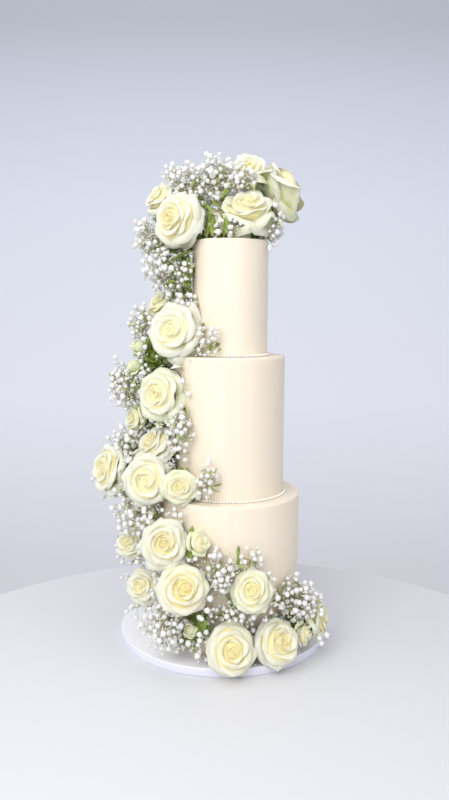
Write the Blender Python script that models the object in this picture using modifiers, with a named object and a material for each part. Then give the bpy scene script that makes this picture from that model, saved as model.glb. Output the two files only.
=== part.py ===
"""Three-tier wedding cake on its round board.

Three tall smooth iced tiers stand on a covered cake board, each with a border of
small pearls at its foot. A cascade of cream roses and baby's breath runs from the
crown, down one side of the tiers and round the front of the board.

Metres, +Z up. The origin is on the tiers' axis, at the underside of the board.
The front of the cake faces -Y. A turn is an angle about the axis from the front,
positive towards +X.
"""

import math
import random

import bmesh
import bpy
from mathutils import Matrix, Vector
from mathutils.bvhtree import BVHTree

MM = 0.001
CAKE_NAME = "tiered_wedding_cake"

# Board: a twelve-inch drum, with the tiers set a little off its centre.
BOARD_RADIUS = 152.4 * MM
BOARD_THICKNESS = 12 * MM
BOARD_EDGE = 1.5 * MM
BOARD_CENTRE = (-7 * MM, 19 * MM)
BOARD_SEGMENTS = 64

# Tiers: name, radius and height, from the foot up.
TIERS = (
    ("tier_bottom", 101 * MM, 207 * MM),
    ("tier_middle", 78 * MM, 195 * MM),
    ("tier_top", 53 * MM, 158 * MM),
)
TIER_EDGE = 1.8 * MM
TIER_SEGMENTS = 48
ARRIS_ANGLE = math.radians(40)

# Pearl borders: one ring of small beads round each tier's foot.
PEARL_RADIUS = 1.9 * MM
PEARL_REACH = 2.5 * MM
PEARL_SEGMENTS = 40
PEARL_SIDES = 4

# Touching pieces keep this gap.
GAP = 0.3 * MM

STEM_RADIUS = 2.6 * MM
STEM_STAND_OFF = 0.8 * MM
STEM_SPREAD = 0.75
STEM_STATIONS = (0.0, 0.5)
STEM_HANDLE = 0.45

# Rose heads. Each section is (radius, height), in head radii, from the neck of the
# stem up the outside of the petals, over the rim and in to the heart. A third
# number is how far every second point of the section draws in between petal tips.
ROSE_FORMS = {
    "open": {
        "sectors": 10,
        "sections": (
            (0.09, -0.95),
            (0.24, -0.80),
            (0.66, -0.46),
            (0.94, -0.04, 0.13),
            (0.76, 0.12, 0.10),
            (0.58, 0.02),
            (0.42, 0.34, -0.12),
            (0.16, 0.42),
        ),
    },
    "half": {
        "sectors": 8,
        "sections": (
            (0.13, -1.10),
            (0.40, -0.88),
            (0.86, -0.30),
            (0.94, 0.22, 0.14),
            (0.62, 0.34, -0.10),
            (0.22, 0.44),
        ),
    },
    "bud": {
        "sectors": 8,
        "sections": (
            (0.24, -1.15),
            (0.62, -0.90),
            (0.96, -0.25, 0.08),
            (0.72, 0.55, -0.08),
            (0.26, 0.95),
        ),
    },
}

# Roses: form, turn about the axis in degrees, reach from the axis, height and head
# radius in millimetres, then the turn and the tilt in degrees that the head faces.
ROSES = (
    ("open", -65, 85, 599, 37, -34, 10),
    ("half", -98, 102, 633, 24, -60, 35),
    ("half", -103, 24, 606, 23, -100, 75),
    ("open", 44, 31, 615, 35, -6, 52),
    ("open", 100, 76, 648, 36, 96, 36),
    ("half", 134, 36, 673, 25, 0, 15),
    ("half", -96, 101, 487, 21, -50, 40),
    ("open", -60, 90, 451, 36, -22, 18),
    ("bud", -86, 128, 426, 13, -80, 10),
    ("bud", -86, 134, 399, 12, -60, -5),
    ("half", -104, 108, 396, 18, -105, 20),
    ("open", -64, 108, 363, 33, -28, 8),
    ("half", -90, 138, 324, 17, -45, 10),
    ("open", -73, 112, 293, 29, -55, 35),
    ("open", -83, 174, 254, 33, -55, 14),
    ("open", -62, 128, 246, 33, -5, 15),
    ("open", -38, 108, 244, 25, 5, 16),
    ("open", -38, 138, 173, 33, 0, 20),
    ("half", -19, 118, 176, 17, 45, 25),
    ("half", -80, 144, 147, 21, -30, 28),
    ("open", -66, 133, 94, 26, -25, 24),
    ("open", -24, 147, 122, 34, 5, 27),
    ("bud", -21, 134, 61, 12, -35, 27),
    ("open", 13, 134, 119, 28, 0, 32),
    ("open", 2, 140, 42, 34, 10, 25),
    ("open", 30, 138, 44, 32, 30, 27),
    ("half", 50, 137, 39, 16, 60, -5),
    ("open", 65, 142, 53, 27, 88, 15),
)

# Leaves: turn in degrees, reach and height of the base, the turn and tilt that the
# blade grows towards, then its length and width in millimetres.
LEAVES = (
    (7, 107, 128, 5, 86, 42, 7),
    (1, 108, 84, -60, 62, 24, 10),
    (-12, 112, 50, -80, 40, 28, 10),
    (-52, 62, 556, -80, -35, 34, 16),
    (-38, 40, 577, 20, 60, 26, 9),
)
LEAF_STATIONS = ((0.0, 0.16), (0.28, 0.82), (0.62, 0.86), (1.0, 0.06))
LEAF_THICKNESS = 1.2 * MM
LEAF_BEND = 0.12

# Baby's breath: turn in degrees, reach and height of each spray's middle, then
# how far it spreads along X, Y and Z from there, in millimetres.
SPRAYS = (
    (-98, 68, 654, 31, 34, 28),
    (-101, 26, 656, 30, 32, 42),
    (53, 16, 654, 19, 16, 22),
    (-5, 40, 585, 18, 12, 11),
    (78, 57, 588, 11, 16, 22),
    (-87, 111, 573, 18, 28, 33),
    (-78, 88, 535, 38, 34, 41),
    (-72, 64, 497, 14, 18, 30),
    (-90, 123, 457, 14, 26, 26),
    (-26, 69, 437, 15, 9, 17),
    (-92, 149, 366, 17, 28, 48),
    (-45, 93, 320, 16, 12, 35),
    (-86, 141, 290, 22, 30, 28),
    (-22, 97, 239, 18, 12, 42),
    (-70, 137, 198, 30, 36, 25),
    (-7, 119, 134, 24, 16, 42),
    (-33, 141, 64, 36, 24, 29),
    (2, 118, 74, 37, 16, 16),
    (50, 122, 82, 44, 26, 30),
    (15, 114, 151, 11, 9, 17),
)
SPRAY_SECTORS = 10
SPRAY_BANDS = 6
SPRAY_CLEARANCE = 3.5 * MM
SPRAY_STEP = 1.0 * MM
SPRAY_UNEVEN = 0.14
SPRAY_PULL = 0.92


def clear_scene():
    for old in list(bpy.data.objects):
        bpy.data.objects.remove(old, do_unlink=True)


def make_collection(name):
    collection = bpy.data.collections.new(name)
    bpy.context.scene.collection.children.link(collection)
    return collection


def make_material(name, colour, roughness, metallic=0.0):
    material = bpy.data.materials.new(name)
    material.use_nodes = True
    shader = material.node_tree.nodes["Principled BSDF"]
    shader.inputs["Base Color"].default_value = (*colour, 1.0)
    shader.inputs["Roughness"].default_value = roughness
    shader.inputs["Metallic"].default_value = metallic
    return material


def add_object(name, mesh, material, collection):
    mesh.materials.clear()
    mesh.materials.append(material)
    piece = bpy.data.objects.new(name, mesh)
    collection.objects.link(piece)
    return piece


def shade_round(mesh):
    mesh.shade_smooth()
    mesh.set_sharp_from_angle(angle=ARRIS_ANGLE)


def bevel_arris(piece, width):
    bevel = piece.modifiers.new("edge", "BEVEL")
    bevel.width = width
    bevel.segments = 1
    bevel.limit_method = "ANGLE"
    bevel.angle_limit = ARRIS_ANGLE


def make_drum(name, radius, foot, height, centre, segments, edge, material, collection):
    """A squat or tall cylinder standing at height foot, its two arrises eased."""
    shape = bmesh.new()
    bmesh.ops.create_cone(
        shape,
        cap_ends=True,
        segments=segments,
        radius1=radius,
        radius2=radius,
        depth=height,
    )
    mesh = bpy.data.meshes.new(name)
    shape.to_mesh(mesh)
    shape.free()
    shade_round(mesh)
    drum = add_object(name, mesh, material, collection)
    drum.location = (centre[0], centre[1], foot + height / 2)
    bevel_arris(drum, edge)
    return drum


def make_pearl_border(name, radius, foot, material, collection):
    """The envelope of a ring of pearls lying round a tier's foot."""
    bpy.ops.mesh.primitive_torus_add(
        major_segments=PEARL_SEGMENTS,
        minor_segments=PEARL_SIDES,
        major_radius=radius + PEARL_REACH,
        minor_radius=PEARL_RADIUS,
        location=(0, 0, foot + PEARL_RADIUS + GAP),
    )
    border = bpy.context.object
    border.name = name
    border.data.name = name
    for owner in list(border.users_collection):
        owner.objects.unlink(border)
    collection.objects.link(border)
    border.data.materials.append(material)
    shade_round(border.data)
    return border


def around(turn, reach, height):
    """A place given by its turn in degrees about the axis, its reach and height."""
    angle = math.radians(turn)
    return Vector((reach * math.sin(angle), -reach * math.cos(angle), height))


def facing(turn, tilt):
    """The unit vector that faces the given turn and tilt, in degrees."""
    return around(turn, math.cos(math.radians(tilt)), math.sin(math.radians(tilt)))


def tier_levels():
    """Each tier's name, radius, foot and top."""
    levels = []
    foot = BOARD_THICKNESS + GAP
    for name, radius, height in TIERS:
        levels.append((name, radius, foot, foot + height))
        foot += height + GAP
    return levels


def stem_foot(neck):
    """Where a stem that leaves a flower at neck meets the icing, and its way in."""
    levels = tier_levels()
    summit = levels[-1][3]
    if neck.z > summit:
        foot = Vector((neck.x, neck.y, 0))
        foot = foot * min(1.0, STEM_SPREAD * levels[-1][1] / foot.length)
        foot.z = summit + STEM_STAND_OFF
        return foot, Vector((0, 0, -1))
    outward = Vector((neck.x, neck.y, 0)).normalized()
    radius = next(level[1] for level in levels if neck.z <= level[3])
    foot = outward * (radius + STEM_STAND_OFF)
    foot.z = max(neck.z, BOARD_THICKNESS + 2 * STEM_RADIUS)
    return foot, -outward


def bezier(points, t):
    p0, p1, p2, p3 = points
    s = 1 - t
    place = p0 * s**3 + p1 * 3 * s * s * t + p2 * 3 * s * t * t + p3 * t**3
    slope = (p1 - p0) * 3 * s * s + (p2 - p1) * 6 * s * t + (p3 - p2) * 3 * t * t
    return place, slope.normalized()


def ring(shape, centre, along, across, radius, sectors, draw_in=0.0):
    """A closed ring of vertices about along; every second one is drawn in."""
    other = along.cross(across)
    vertices = []
    for index in range(sectors):
        angle = math.tau * index / sectors
        reach = radius * (1 - draw_in) if index % 2 else radius
        spoke = across * math.cos(angle) + other * math.sin(angle)
        vertices.append(shape.verts.new(centre + spoke * reach))
    return vertices


def loft(shape, rings):
    """Skin rings of equal count, listed along the axis, and cap both ends."""
    for lower, upper in zip(rings, rings[1:]):
        count = len(lower)
        for index in range(count):
            after = (index + 1) % count
            shape.faces.new((lower[index], lower[after], upper[after], upper[index]))
    shape.faces.new(list(reversed(rings[0])))
    shape.faces.new(rings[-1])


def make_rose(name, rose, material, collection):
    """One rose: a curved stem from the icing, the cup of petals and the heart."""
    form_name, turn, reach, height, head, face_turn, face_tilt = rose
    form = ROSE_FORMS[form_name]
    sectors = form["sectors"]
    head = head * MM
    place = around(turn, reach * MM, height * MM)
    axis = facing(face_turn, face_tilt)
    turned = axis.to_track_quat("Z", "Y").to_matrix().to_4x4()
    to_world = Matrix.Translation(place) @ turned
    to_local = to_world.inverted()

    neck = Vector((0, 0, form["sections"][0][1] * head))
    foot, inward = stem_foot(to_world @ neck)
    foot = to_local @ foot
    inward = to_local.to_3x3() @ inward
    handle = (foot - neck).length * STEM_HANDLE
    path = (foot, foot - inward * handle, neck - Vector((0, 0, handle)), neck)

    shape = bmesh.new()
    across = Vector((1, 0, 0))
    rings = []
    for t in reversed(STEM_STATIONS):
        centre, slope = bezier(path, t)
        across = (across - slope * across.dot(slope)).normalized()
        rings.insert(0, ring(shape, centre, slope, across, STEM_RADIUS, sectors))
    up = Vector((0, 0, 1))
    across = Vector((1, 0, 0))
    for section in form["sections"]:
        draw_in = section[2] if len(section) > 2 else 0.0
        centre = up * section[1] * head
        rings.append(ring(shape, centre, up, across, section[0] * head, sectors, draw_in))
    loft(shape, rings)
    mesh = bpy.data.meshes.new(name)
    shape.to_mesh(mesh)
    shape.free()
    mesh.shade_smooth()
    rose = add_object(name, mesh, material, collection)
    rose.location = place
    rose.rotation_euler = turned.to_euler()
    return rose


def make_leaf(name, leaf, material, collection):
    """A narrow leaf blade: a lens in section, bent along its length."""
    turn, reach, height, grow_turn, grow_tilt, length, width = leaf
    base = around(turn, reach * MM, height * MM)
    along = facing(grow_turn, grow_tilt)
    outward = around(turn, 1.0, 0.0)
    across = along.cross(outward).normalized()
    face = across.cross(along)
    shape = bmesh.new()
    rings = []
    for station, share in LEAF_STATIONS:
        bow = LEAF_BEND * math.sin(math.pi * station)
        centre = (along * station + face * bow) * length * MM
        half = across * share * width * MM / 2
        rise = face * LEAF_THICKNESS / 2
        spots = (centre + half, centre + rise, centre - half, centre - rise)
        rings.append([shape.verts.new(spot) for spot in spots])
    loft(shape, rings)
    bmesh.ops.recalc_face_normals(shape, faces=shape.faces)
    mesh = bpy.data.meshes.new(name)
    shape.to_mesh(mesh)
    shape.free()
    blade = add_object(name, mesh, material, collection)
    blade.location = base
    return blade


def world_faces(piece):
    """The piece's evaluated surface in world space, as vertices and triangles."""
    depsgraph = bpy.context.evaluated_depsgraph_get()
    evaluated = piece.evaluated_get(depsgraph)
    mesh = evaluated.to_mesh()
    mesh.calc_loop_triangles()
    vertices = [piece.matrix_world @ vertex.co for vertex in mesh.vertices]
    triangles = [tuple(triangle.vertices) for triangle in mesh.loop_triangles]
    evaluated.to_mesh_clear()
    return vertices, triangles


def surface_tree(pieces):
    """One search tree of the surfaces of several pieces."""
    vertices = []
    triangles = []
    for piece in pieces:
        points, faces = world_faces(piece)
        offset = len(vertices)
        vertices.extend(points)
        triangles.extend(tuple(corner + offset for corner in face) for face in faces)
    return BVHTree.FromPolygons(vertices, triangles)


def free_reach(tree, centre, direction, reach):
    """How far from centre a spray grows before it comes near its neighbours."""
    travelled = 0.0
    while travelled < reach:
        place = centre + direction * travelled
        if tree.find_nearest(place)[3] < SPRAY_CLEARANCE:
            break
        travelled += SPRAY_STEP
    return min(travelled, reach)


def pull_clear(shape, centre, tree):
    """Draw a spray's surface in towards its middle until it touches nothing."""
    while True:
        corners = [centre + vertex.co for vertex in shape.verts]
        faces = [tuple(vertex.index for vertex in face.verts) for face in shape.faces]
        own = BVHTree.FromPolygons(corners, faces)
        hits = {pair[0] for pair in own.overlap(tree)}
        if not hits:
            return
        shape.faces.ensure_lookup_table()
        for vertex in {corner for hit in hits for corner in shape.faces[hit].verts}:
            vertex.co *= SPRAY_PULL


def make_spray(name, spray, seed, neighbours, material, collection):
    """A spray of baby's breath: one body out to its uneven outline."""
    turn, reach, height, wide, deep, tall = spray
    centre = around(turn, reach * MM, height * MM)
    tree = surface_tree(neighbours)
    if tree.find_nearest(centre)[3] < 2 * SPRAY_CLEARANCE:
        raise ValueError(f"{name} starts too near a neighbour")
    spread = Vector((wide, deep, tall)) * MM
    chance = random.Random(seed)
    shape = bmesh.new()
    bmesh.ops.create_uvsphere(
        shape,
        u_segments=SPRAY_SECTORS,
        v_segments=SPRAY_BANDS,
        radius=1.0,
    )
    bmesh.ops.triangulate(shape, faces=shape.faces)
    for vertex in shape.verts:
        outline = vertex.co * spread * chance.uniform(1 - SPRAY_UNEVEN, 1 + SPRAY_UNEVEN)
        direction = outline.normalized()
        vertex.co = direction * free_reach(tree, centre, direction, outline.length)
    shape.verts.index_update()
    pull_clear(shape, centre, tree)
    mesh = bpy.data.meshes.new(name)
    shape.to_mesh(mesh)
    shape.free()
    mesh.shade_smooth()
    piece = add_object(name, mesh, material, collection)
    piece.location = centre
    return piece


def build():
    clear_scene()
    cake = make_collection(CAKE_NAME)
    board_cover = make_material("board_cover", (0.72, 0.72, 0.80), 0.35)
    icing = make_material("cream_icing", (0.93, 0.85, 0.71), 0.45)
    pearl = make_material("pearl", (0.95, 0.93, 0.88), 0.30)
    petals = make_material("rose_petals", (0.90, 0.88, 0.66), 0.50)
    foliage = make_material("foliage", (0.22, 0.33, 0.10), 0.55)
    florets = make_material("babys_breath", (0.88, 0.90, 0.84), 0.70)

    make_drum(
        "cake_board", BOARD_RADIUS, 0.0, BOARD_THICKNESS, BOARD_CENTRE,
        BOARD_SEGMENTS, BOARD_EDGE, board_cover, cake,
    )
    for name, radius, foot, top in tier_levels():
        make_drum(
            name, radius, foot, top - foot, (0.0, 0.0),
            TIER_SEGMENTS, TIER_EDGE, icing, cake,
        )
        border = name.replace("tier", "pearl_border")
        make_pearl_border(border, radius, foot, pearl, cake)
    for index, rose in enumerate(ROSES, start=1):
        make_rose(f"rose_{rose[0]}_{index:02d}", rose, petals, cake)
    for index, leaf in enumerate(LEAVES, start=1):
        make_leaf(f"leaf_{index}", leaf, foliage, cake)
    bpy.context.view_layer.update()
    for index, spray in enumerate(SPRAYS, start=1):
        neighbours = [piece for piece in cake.objects if piece.type == "MESH"]
        make_spray(
            f"babys_breath_{index:02d}", spray, index, neighbours, florets, cake
        )
        bpy.context.view_layer.update()


build()
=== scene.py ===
"""Looks of the three-tier wedding cake.

Smooth cream tiers with pearl borders stand on a covered board, and a cascade of
cream roses, baby's breath and leaves runs down one side. Every place comes from
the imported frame: metres, +Z up, the tiers' axis on Z and the cake's front at -Y.
"""

import math
import random

import bmesh
import bpy
import numpy as np
from bpy.props import FloatProperty, FloatVectorProperty, IntProperty, PointerProperty
from mathutils import Matrix, Vector
from mathutils.bvhtree import BVHTree


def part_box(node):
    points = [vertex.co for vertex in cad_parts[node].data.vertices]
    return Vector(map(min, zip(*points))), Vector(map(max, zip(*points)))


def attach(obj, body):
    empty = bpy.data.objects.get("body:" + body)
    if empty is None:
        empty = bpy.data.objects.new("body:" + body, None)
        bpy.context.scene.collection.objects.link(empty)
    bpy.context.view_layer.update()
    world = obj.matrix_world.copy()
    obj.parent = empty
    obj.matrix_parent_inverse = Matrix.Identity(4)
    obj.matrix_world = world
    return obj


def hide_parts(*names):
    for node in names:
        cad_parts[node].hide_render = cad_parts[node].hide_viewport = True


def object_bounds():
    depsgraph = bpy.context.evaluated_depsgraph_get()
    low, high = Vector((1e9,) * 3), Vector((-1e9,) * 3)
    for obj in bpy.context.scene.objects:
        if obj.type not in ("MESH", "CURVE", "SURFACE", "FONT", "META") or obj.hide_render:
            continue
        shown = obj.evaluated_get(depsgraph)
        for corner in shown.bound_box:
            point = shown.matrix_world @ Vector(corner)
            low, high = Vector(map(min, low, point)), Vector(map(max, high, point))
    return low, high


bl_info = {
    "name": "Tiered Wedding Cake",
    "version": (1, 0, 0),
    "blender": (4, 5, 0),
    "location": "View3D > Sidebar > Cake",
    "description": "Ices the tiers, rings them with pearls and dresses them with flowers",
    "category": "Object",
}

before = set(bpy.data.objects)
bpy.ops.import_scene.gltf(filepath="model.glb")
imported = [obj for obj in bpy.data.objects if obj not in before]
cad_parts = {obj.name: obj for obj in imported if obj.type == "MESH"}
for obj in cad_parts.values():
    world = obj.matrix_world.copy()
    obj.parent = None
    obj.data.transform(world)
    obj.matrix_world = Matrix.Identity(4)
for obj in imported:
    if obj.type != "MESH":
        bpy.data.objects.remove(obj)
CAD_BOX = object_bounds()

GOLDEN_ANGLE = math.pi * (3 - math.sqrt(5))
UP = Vector((0, 0, 1))


# ---------------------------------------------------------------- settings


class IcingSettings(bpy.types.PropertyGroup):
    segments: IntProperty(
        name="Segments",
        description="Points round each tier",
        default=224,
        min=32,
    )
    edge: FloatProperty(
        name="Edge radius",
        description="Radius of the tiers' eased top edge",
        default=0.0022,
        unit="LENGTH",
    )
    waver: FloatProperty(
        name="Waver",
        description="How far the hand-smoothed icing wanders from a true cylinder",
        default=0.00035,
        unit="LENGTH",
    )
    colour: FloatVectorProperty(
        name="Colour",
        description="Cream of the icing",
        default=(0.93, 0.825, 0.69),
        subtype="COLOR",
        size=3,
    )


class PearlSettings(bpy.types.PropertyGroup):
    bead: FloatProperty(
        name="Bead radius",
        description="Radius of one sugar pearl",
        default=0.0019,
        unit="LENGTH",
    )
    pitch: FloatProperty(
        name="Pitch",
        description="Distance from one pearl to the next",
        default=0.0039,
        unit="LENGTH",
    )
    colour: FloatVectorProperty(
        name="Colour",
        description="White of the pearls",
        default=(1.0, 0.965, 0.87),
        subtype="COLOR",
        size=3,
    )


class BoardSettings(bpy.types.PropertyGroup):
    segments: IntProperty(
        name="Segments",
        description="Points round the board",
        default=256,
        min=32,
    )
    edge: FloatProperty(
        name="Edge radius",
        description="Radius of the board's two edges",
        default=0.0016,
        unit="LENGTH",
    )
    colour: FloatVectorProperty(
        name="Colour",
        description="White of the board's covering",
        default=(0.77, 0.77, 0.88),
        subtype="COLOR",
        size=3,
    )


class RoseSettings(bpy.types.PropertyGroup):
    columns: IntProperty(
        name="Columns",
        description="Points across one petal",
        default=13,
        min=5,
    )
    rows: IntProperty(
        name="Rows",
        description="Points along one petal",
        default=13,
        min=5,
    )
    thickness: FloatProperty(
        name="Thickness",
        description="Thickness of a petal at its middle",
        default=0.0005,
        unit="LENGTH",
    )
    cream: FloatVectorProperty(
        name="Cream",
        description="Petal colour near the rim",
        default=(0.845, 0.825, 0.70),
        subtype="COLOR",
        size=3,
    )
    gold: FloatVectorProperty(
        name="Gold",
        description="Petal colour deep in the cup",
        default=(0.97, 0.84, 0.44),
        subtype="COLOR",
        size=3,
    )
    green: FloatVectorProperty(
        name="Green",
        description="Tint of the outermost petals",
        default=(0.80, 0.88, 0.48),
        subtype="COLOR",
        size=3,
    )


class BreathSettings(bpy.types.PropertyGroup):
    spacing: FloatProperty(
        name="Spacing",
        description="Distance between clusters of florets over a spray",
        default=0.0158,
        unit="LENGTH",
    )
    floret: FloatProperty(
        name="Floret radius",
        description="Radius of an open floret of middling size",
        default=0.0042,
        unit="LENGTH",
    )
    bud: FloatProperty(
        name="Bud radius",
        description="Radius of a closed bud of middling size",
        default=0.0013,
        unit="LENGTH",
    )
    twig: FloatProperty(
        name="Twig radius",
        description="Radius of the branches between clusters",
        default=0.00048,
        unit="LENGTH",
    )
    white: FloatVectorProperty(
        name="White",
        description="White of the florets",
        default=(1.0, 0.985, 0.93),
        subtype="COLOR",
        size=3,
    )
    twig_colour: FloatVectorProperty(
        name="Twig colour",
        description="Grey-green of the twigs and the florets' cups",
        default=(0.50, 0.52, 0.31),
        subtype="COLOR",
        size=3,
    )


class FoliageSettings(bpy.types.PropertyGroup):
    spacing: FloatProperty(
        name="Spacing",
        description="Distance between the leaves inside a spray",
        default=0.014,
        unit="LENGTH",
    )
    # The leaves near the cake get a darker green, as painted shade, and the leaves inside the sprays a
    # lighter copy of it, as painted light.
    leaf: FloatVectorProperty(
        name="Leaf",
        description="Green of the leaves near the cake",
        default=(0.27, 0.37, 0.07),
        subtype="COLOR",
        size=3,
    )
    young_leaf: FloatVectorProperty(
        name="Painted lit leaf",
        description="Green of the leaves inside the sprays",
        default=(0.52, 0.58, 0.28),
        subtype="COLOR",
        size=3,
    )
    sepal: FloatVectorProperty(
        name="Sepal",
        description="Green of the roses' cups and stems",
        default=(0.22, 0.33, 0.08),
        subtype="COLOR",
        size=3,
    )


class StudioSettings(bpy.types.PropertyGroup):
    camera_place: FloatVectorProperty(
        name="Camera place",
        description="Where the camera stands",
        default=(-0.0070, -1.0468, 0.4820),
        subtype="TRANSLATION",
        unit="LENGTH",
        size=3,
    )
    camera_pitch: FloatProperty(
        name="Camera pitch",
        description="How far the camera looks down",
        default=math.radians(7.185),
        unit="ROTATION",
    )
    camera_roll: FloatProperty(
        name="Camera roll",
        description="How far the camera leans to its left",
        default=math.radians(0.334),
        unit="ROTATION",
    )
    camera_lens: FloatProperty(
        name="Lens",
        description="Focal length in millimetres",
        default=33.23,
    )
    floor: FloatVectorProperty(
        name="Floor",
        description="Colour of the table",
        default=(0.76, 0.76, 0.79),
        subtype="COLOR",
        size=3,
    )
    wall: FloatVectorProperty(
        name="Wall",
        description="Colour of the backdrop",
        default=(0.66, 0.67, 0.74),
        subtype="COLOR",
        size=3,
    )


class CakeSettings(bpy.types.PropertyGroup):
    icing: PointerProperty(type=IcingSettings)
    pearls: PointerProperty(type=PearlSettings)
    board: PointerProperty(type=BoardSettings)
    roses: PointerProperty(type=RoseSettings)
    breath: PointerProperty(type=BreathSettings)
    foliage: PointerProperty(type=FoliageSettings)
    studio: PointerProperty(type=StudioSettings)


# ---------------------------------------------------------------- node helpers


class Tree:
    """Adds nodes to one node tree and links them as they are made."""

    def __init__(self, tree):
        self.tree = tree

    def add(self, kind, settings=None, **inputs):
        """A node of one kind, its properties set and its named inputs filled."""
        node = self.tree.nodes.new(kind)
        for name, value in (settings or {}).items():
            setattr(node, name, value)
        for name, value in inputs.items():
            self.fill(node, name.replace("_", " "), value)
        return node

    def fill(self, node, name, value):
        """Set an enabled input, by name or by index, to a value or a link."""
        if isinstance(name, int):
            socket = node.inputs[name]
        else:
            socket = next(s for s in node.inputs if s.enabled and s.name == name)
        if isinstance(value, bpy.types.NodeSocket):
            self.tree.links.new(value, socket)
        else:
            socket.default_value = value

    def math(self, operation, *values):
        node = self.add("ShaderNodeMath", {"operation": operation})
        for index, value in enumerate(values):
            self.fill(node, index, value)
        return node.outputs[0]

    def vector(self, operation, *values):
        node = self.add("ShaderNodeVectorMath", {"operation": operation})
        for index, value in enumerate(values):
            self.fill(node, index, value)
        return node.outputs[0]

    def ramp(self, factor, stops):
        """A colour ramp through (position, colour) stops."""
        node = self.add("ShaderNodeValToRGB", Fac=factor)
        band = node.color_ramp
        while len(band.elements) < len(stops):
            band.elements.new(0.5)
        for element, (place, colour) in zip(band.elements, stops):
            element.position = place
            element.color = (*colour, 1.0)
        return node.outputs["Color"]

    def mix(self, factor, first, second, blend="MIX"):
        """Blend two colours; each is a link or a triple."""
        node = self.add("ShaderNodeMix", {"data_type": "RGBA", "blend_type": blend})
        for name, value in (("Factor", factor), ("A", first), ("B", second)):
            if isinstance(value, (tuple, list)):
                value = (*value, 1.0)
            self.fill(node, name, value)
        return next(s for s in node.outputs if s.enabled)

    def attribute(self, name):
        """A named value on the mesh, for a shader."""
        node = self.add("ShaderNodeAttribute", {"attribute_name": name})
        return node.outputs["Fac"]

    def named(self, kind, name):
        """A named attribute on the geometry, for a geometry tree."""
        node = self.add("GeometryNodeInputNamedAttribute", {"data_type": kind})
        node.inputs["Name"].default_value = name
        return next(s for s in node.outputs if s.enabled and s.name == "Attribute")


def shader(name):
    """A new material: its tree helper and its Principled shader."""
    material = bpy.data.materials.new(name)
    material.use_nodes = True
    tree = Tree(material.node_tree)
    return material, tree, material.node_tree.nodes["Principled BSDF"]


def noise(tree, vector, scale, detail=3.0, roughness=0.5):
    node = tree.add(
        "ShaderNodeTexNoise", Vector=vector, Scale=scale, Detail=detail, Roughness=roughness
    )
    return node.outputs[0]


def stretched(tree, coordinates, scale):
    """Coordinates scaled unevenly, for streaks and veins."""
    node = tree.add("ShaderNodeMapping", Vector=coordinates, Scale=scale)
    return node.outputs["Vector"]


def bump(tree, height, strength, distance):
    node = tree.add("ShaderNodeBump", Height=height, Strength=strength, Distance=distance)
    return node.outputs["Normal"]


class Group:
    """A geometry node tree with named inputs, applied to an object as a modifier."""

    def __init__(self, name):
        self.tree = bpy.data.node_groups.new(name, "GeometryNodeTree")
        self.nodes = Tree(self.tree)
        self.sockets = {}
        self.tree.interface.new_socket(
            name="Geometry", in_out="INPUT", socket_type="NodeSocketGeometry"
        )
        self.tree.interface.new_socket(
            name="Geometry", in_out="OUTPUT", socket_type="NodeSocketGeometry"
        )
        self.source = self.tree.nodes.new("NodeGroupInput")
        self.sink = self.tree.nodes.new("NodeGroupOutput")

    def input(self, name, kind):
        socket = self.tree.interface.new_socket(
            name=name, in_out="INPUT", socket_type=f"NodeSocket{kind}"
        )
        self.sockets[name] = socket.identifier
        return next(s for s in self.source.outputs if s.name == name)

    def finish(self, geometry, material):
        """End the tree: the instances made real, then the material."""
        real = self.nodes.add("GeometryNodeRealizeInstances", Geometry=geometry)
        clothed = self.nodes.add(
            "GeometryNodeSetMaterial", Geometry=real.outputs[0], Material=material
        )
        self.tree.links.new(clothed.outputs[0], self.sink.inputs[0])

    def grow(self, name, mesh, values):
        """Run the tree on a mesh and keep the result as a plain mesh object."""
        seed_piece = bpy.data.objects.new(name, mesh)
        bpy.context.scene.collection.objects.link(seed_piece)
        modifier = seed_piece.modifiers.new("grow", "NODES")
        modifier.node_group = self.tree
        for label, value in values.items():
            modifier[self.sockets[label]] = value
        depsgraph = bpy.context.evaluated_depsgraph_get()
        result = bpy.data.meshes.new_from_object(seed_piece.evaluated_get(depsgraph))
        seed_piece.modifiers.remove(modifier)
        seed_piece.data = result
        result.name = name
        if not result.polygons:
            raise RuntimeError(f"the node tree made nothing for {name}")
        return seed_piece


# ---------------------------------------------------------------- mesh helpers


def settle(piece, slot, *nodes, body="root"):
    """Ride a finished piece on its body and hide the nodes it replaces; the slot is not used."""
    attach(piece, body)
    if nodes:
        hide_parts(*nodes)


def empty_mesh(name):
    return bpy.data.meshes.new(name)


def nodes_like(start):
    return sorted(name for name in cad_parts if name.startswith(start))


def node_shape(name):
    """A merged copy of a node's mesh, coplanar triangles joined."""
    shape = bmesh.new()
    shape.from_mesh(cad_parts[name].data)
    bmesh.ops.remove_doubles(shape, verts=shape.verts, dist=1e-6)
    bmesh.ops.dissolve_limit(shape, angle_limit=math.radians(0.5), edges=shape.edges)
    return shape


def smooth(mesh, degrees):
    mesh.shade_smooth()
    mesh.set_sharp_from_angle(angle=math.radians(degrees))


def around(turn, reach, height):
    """A place given by its turn about the axis from the front, reach and height."""
    return Vector((reach * math.sin(turn), -reach * math.cos(turn), height))


# ---------------------------------------------------------------- tiers and board


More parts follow.
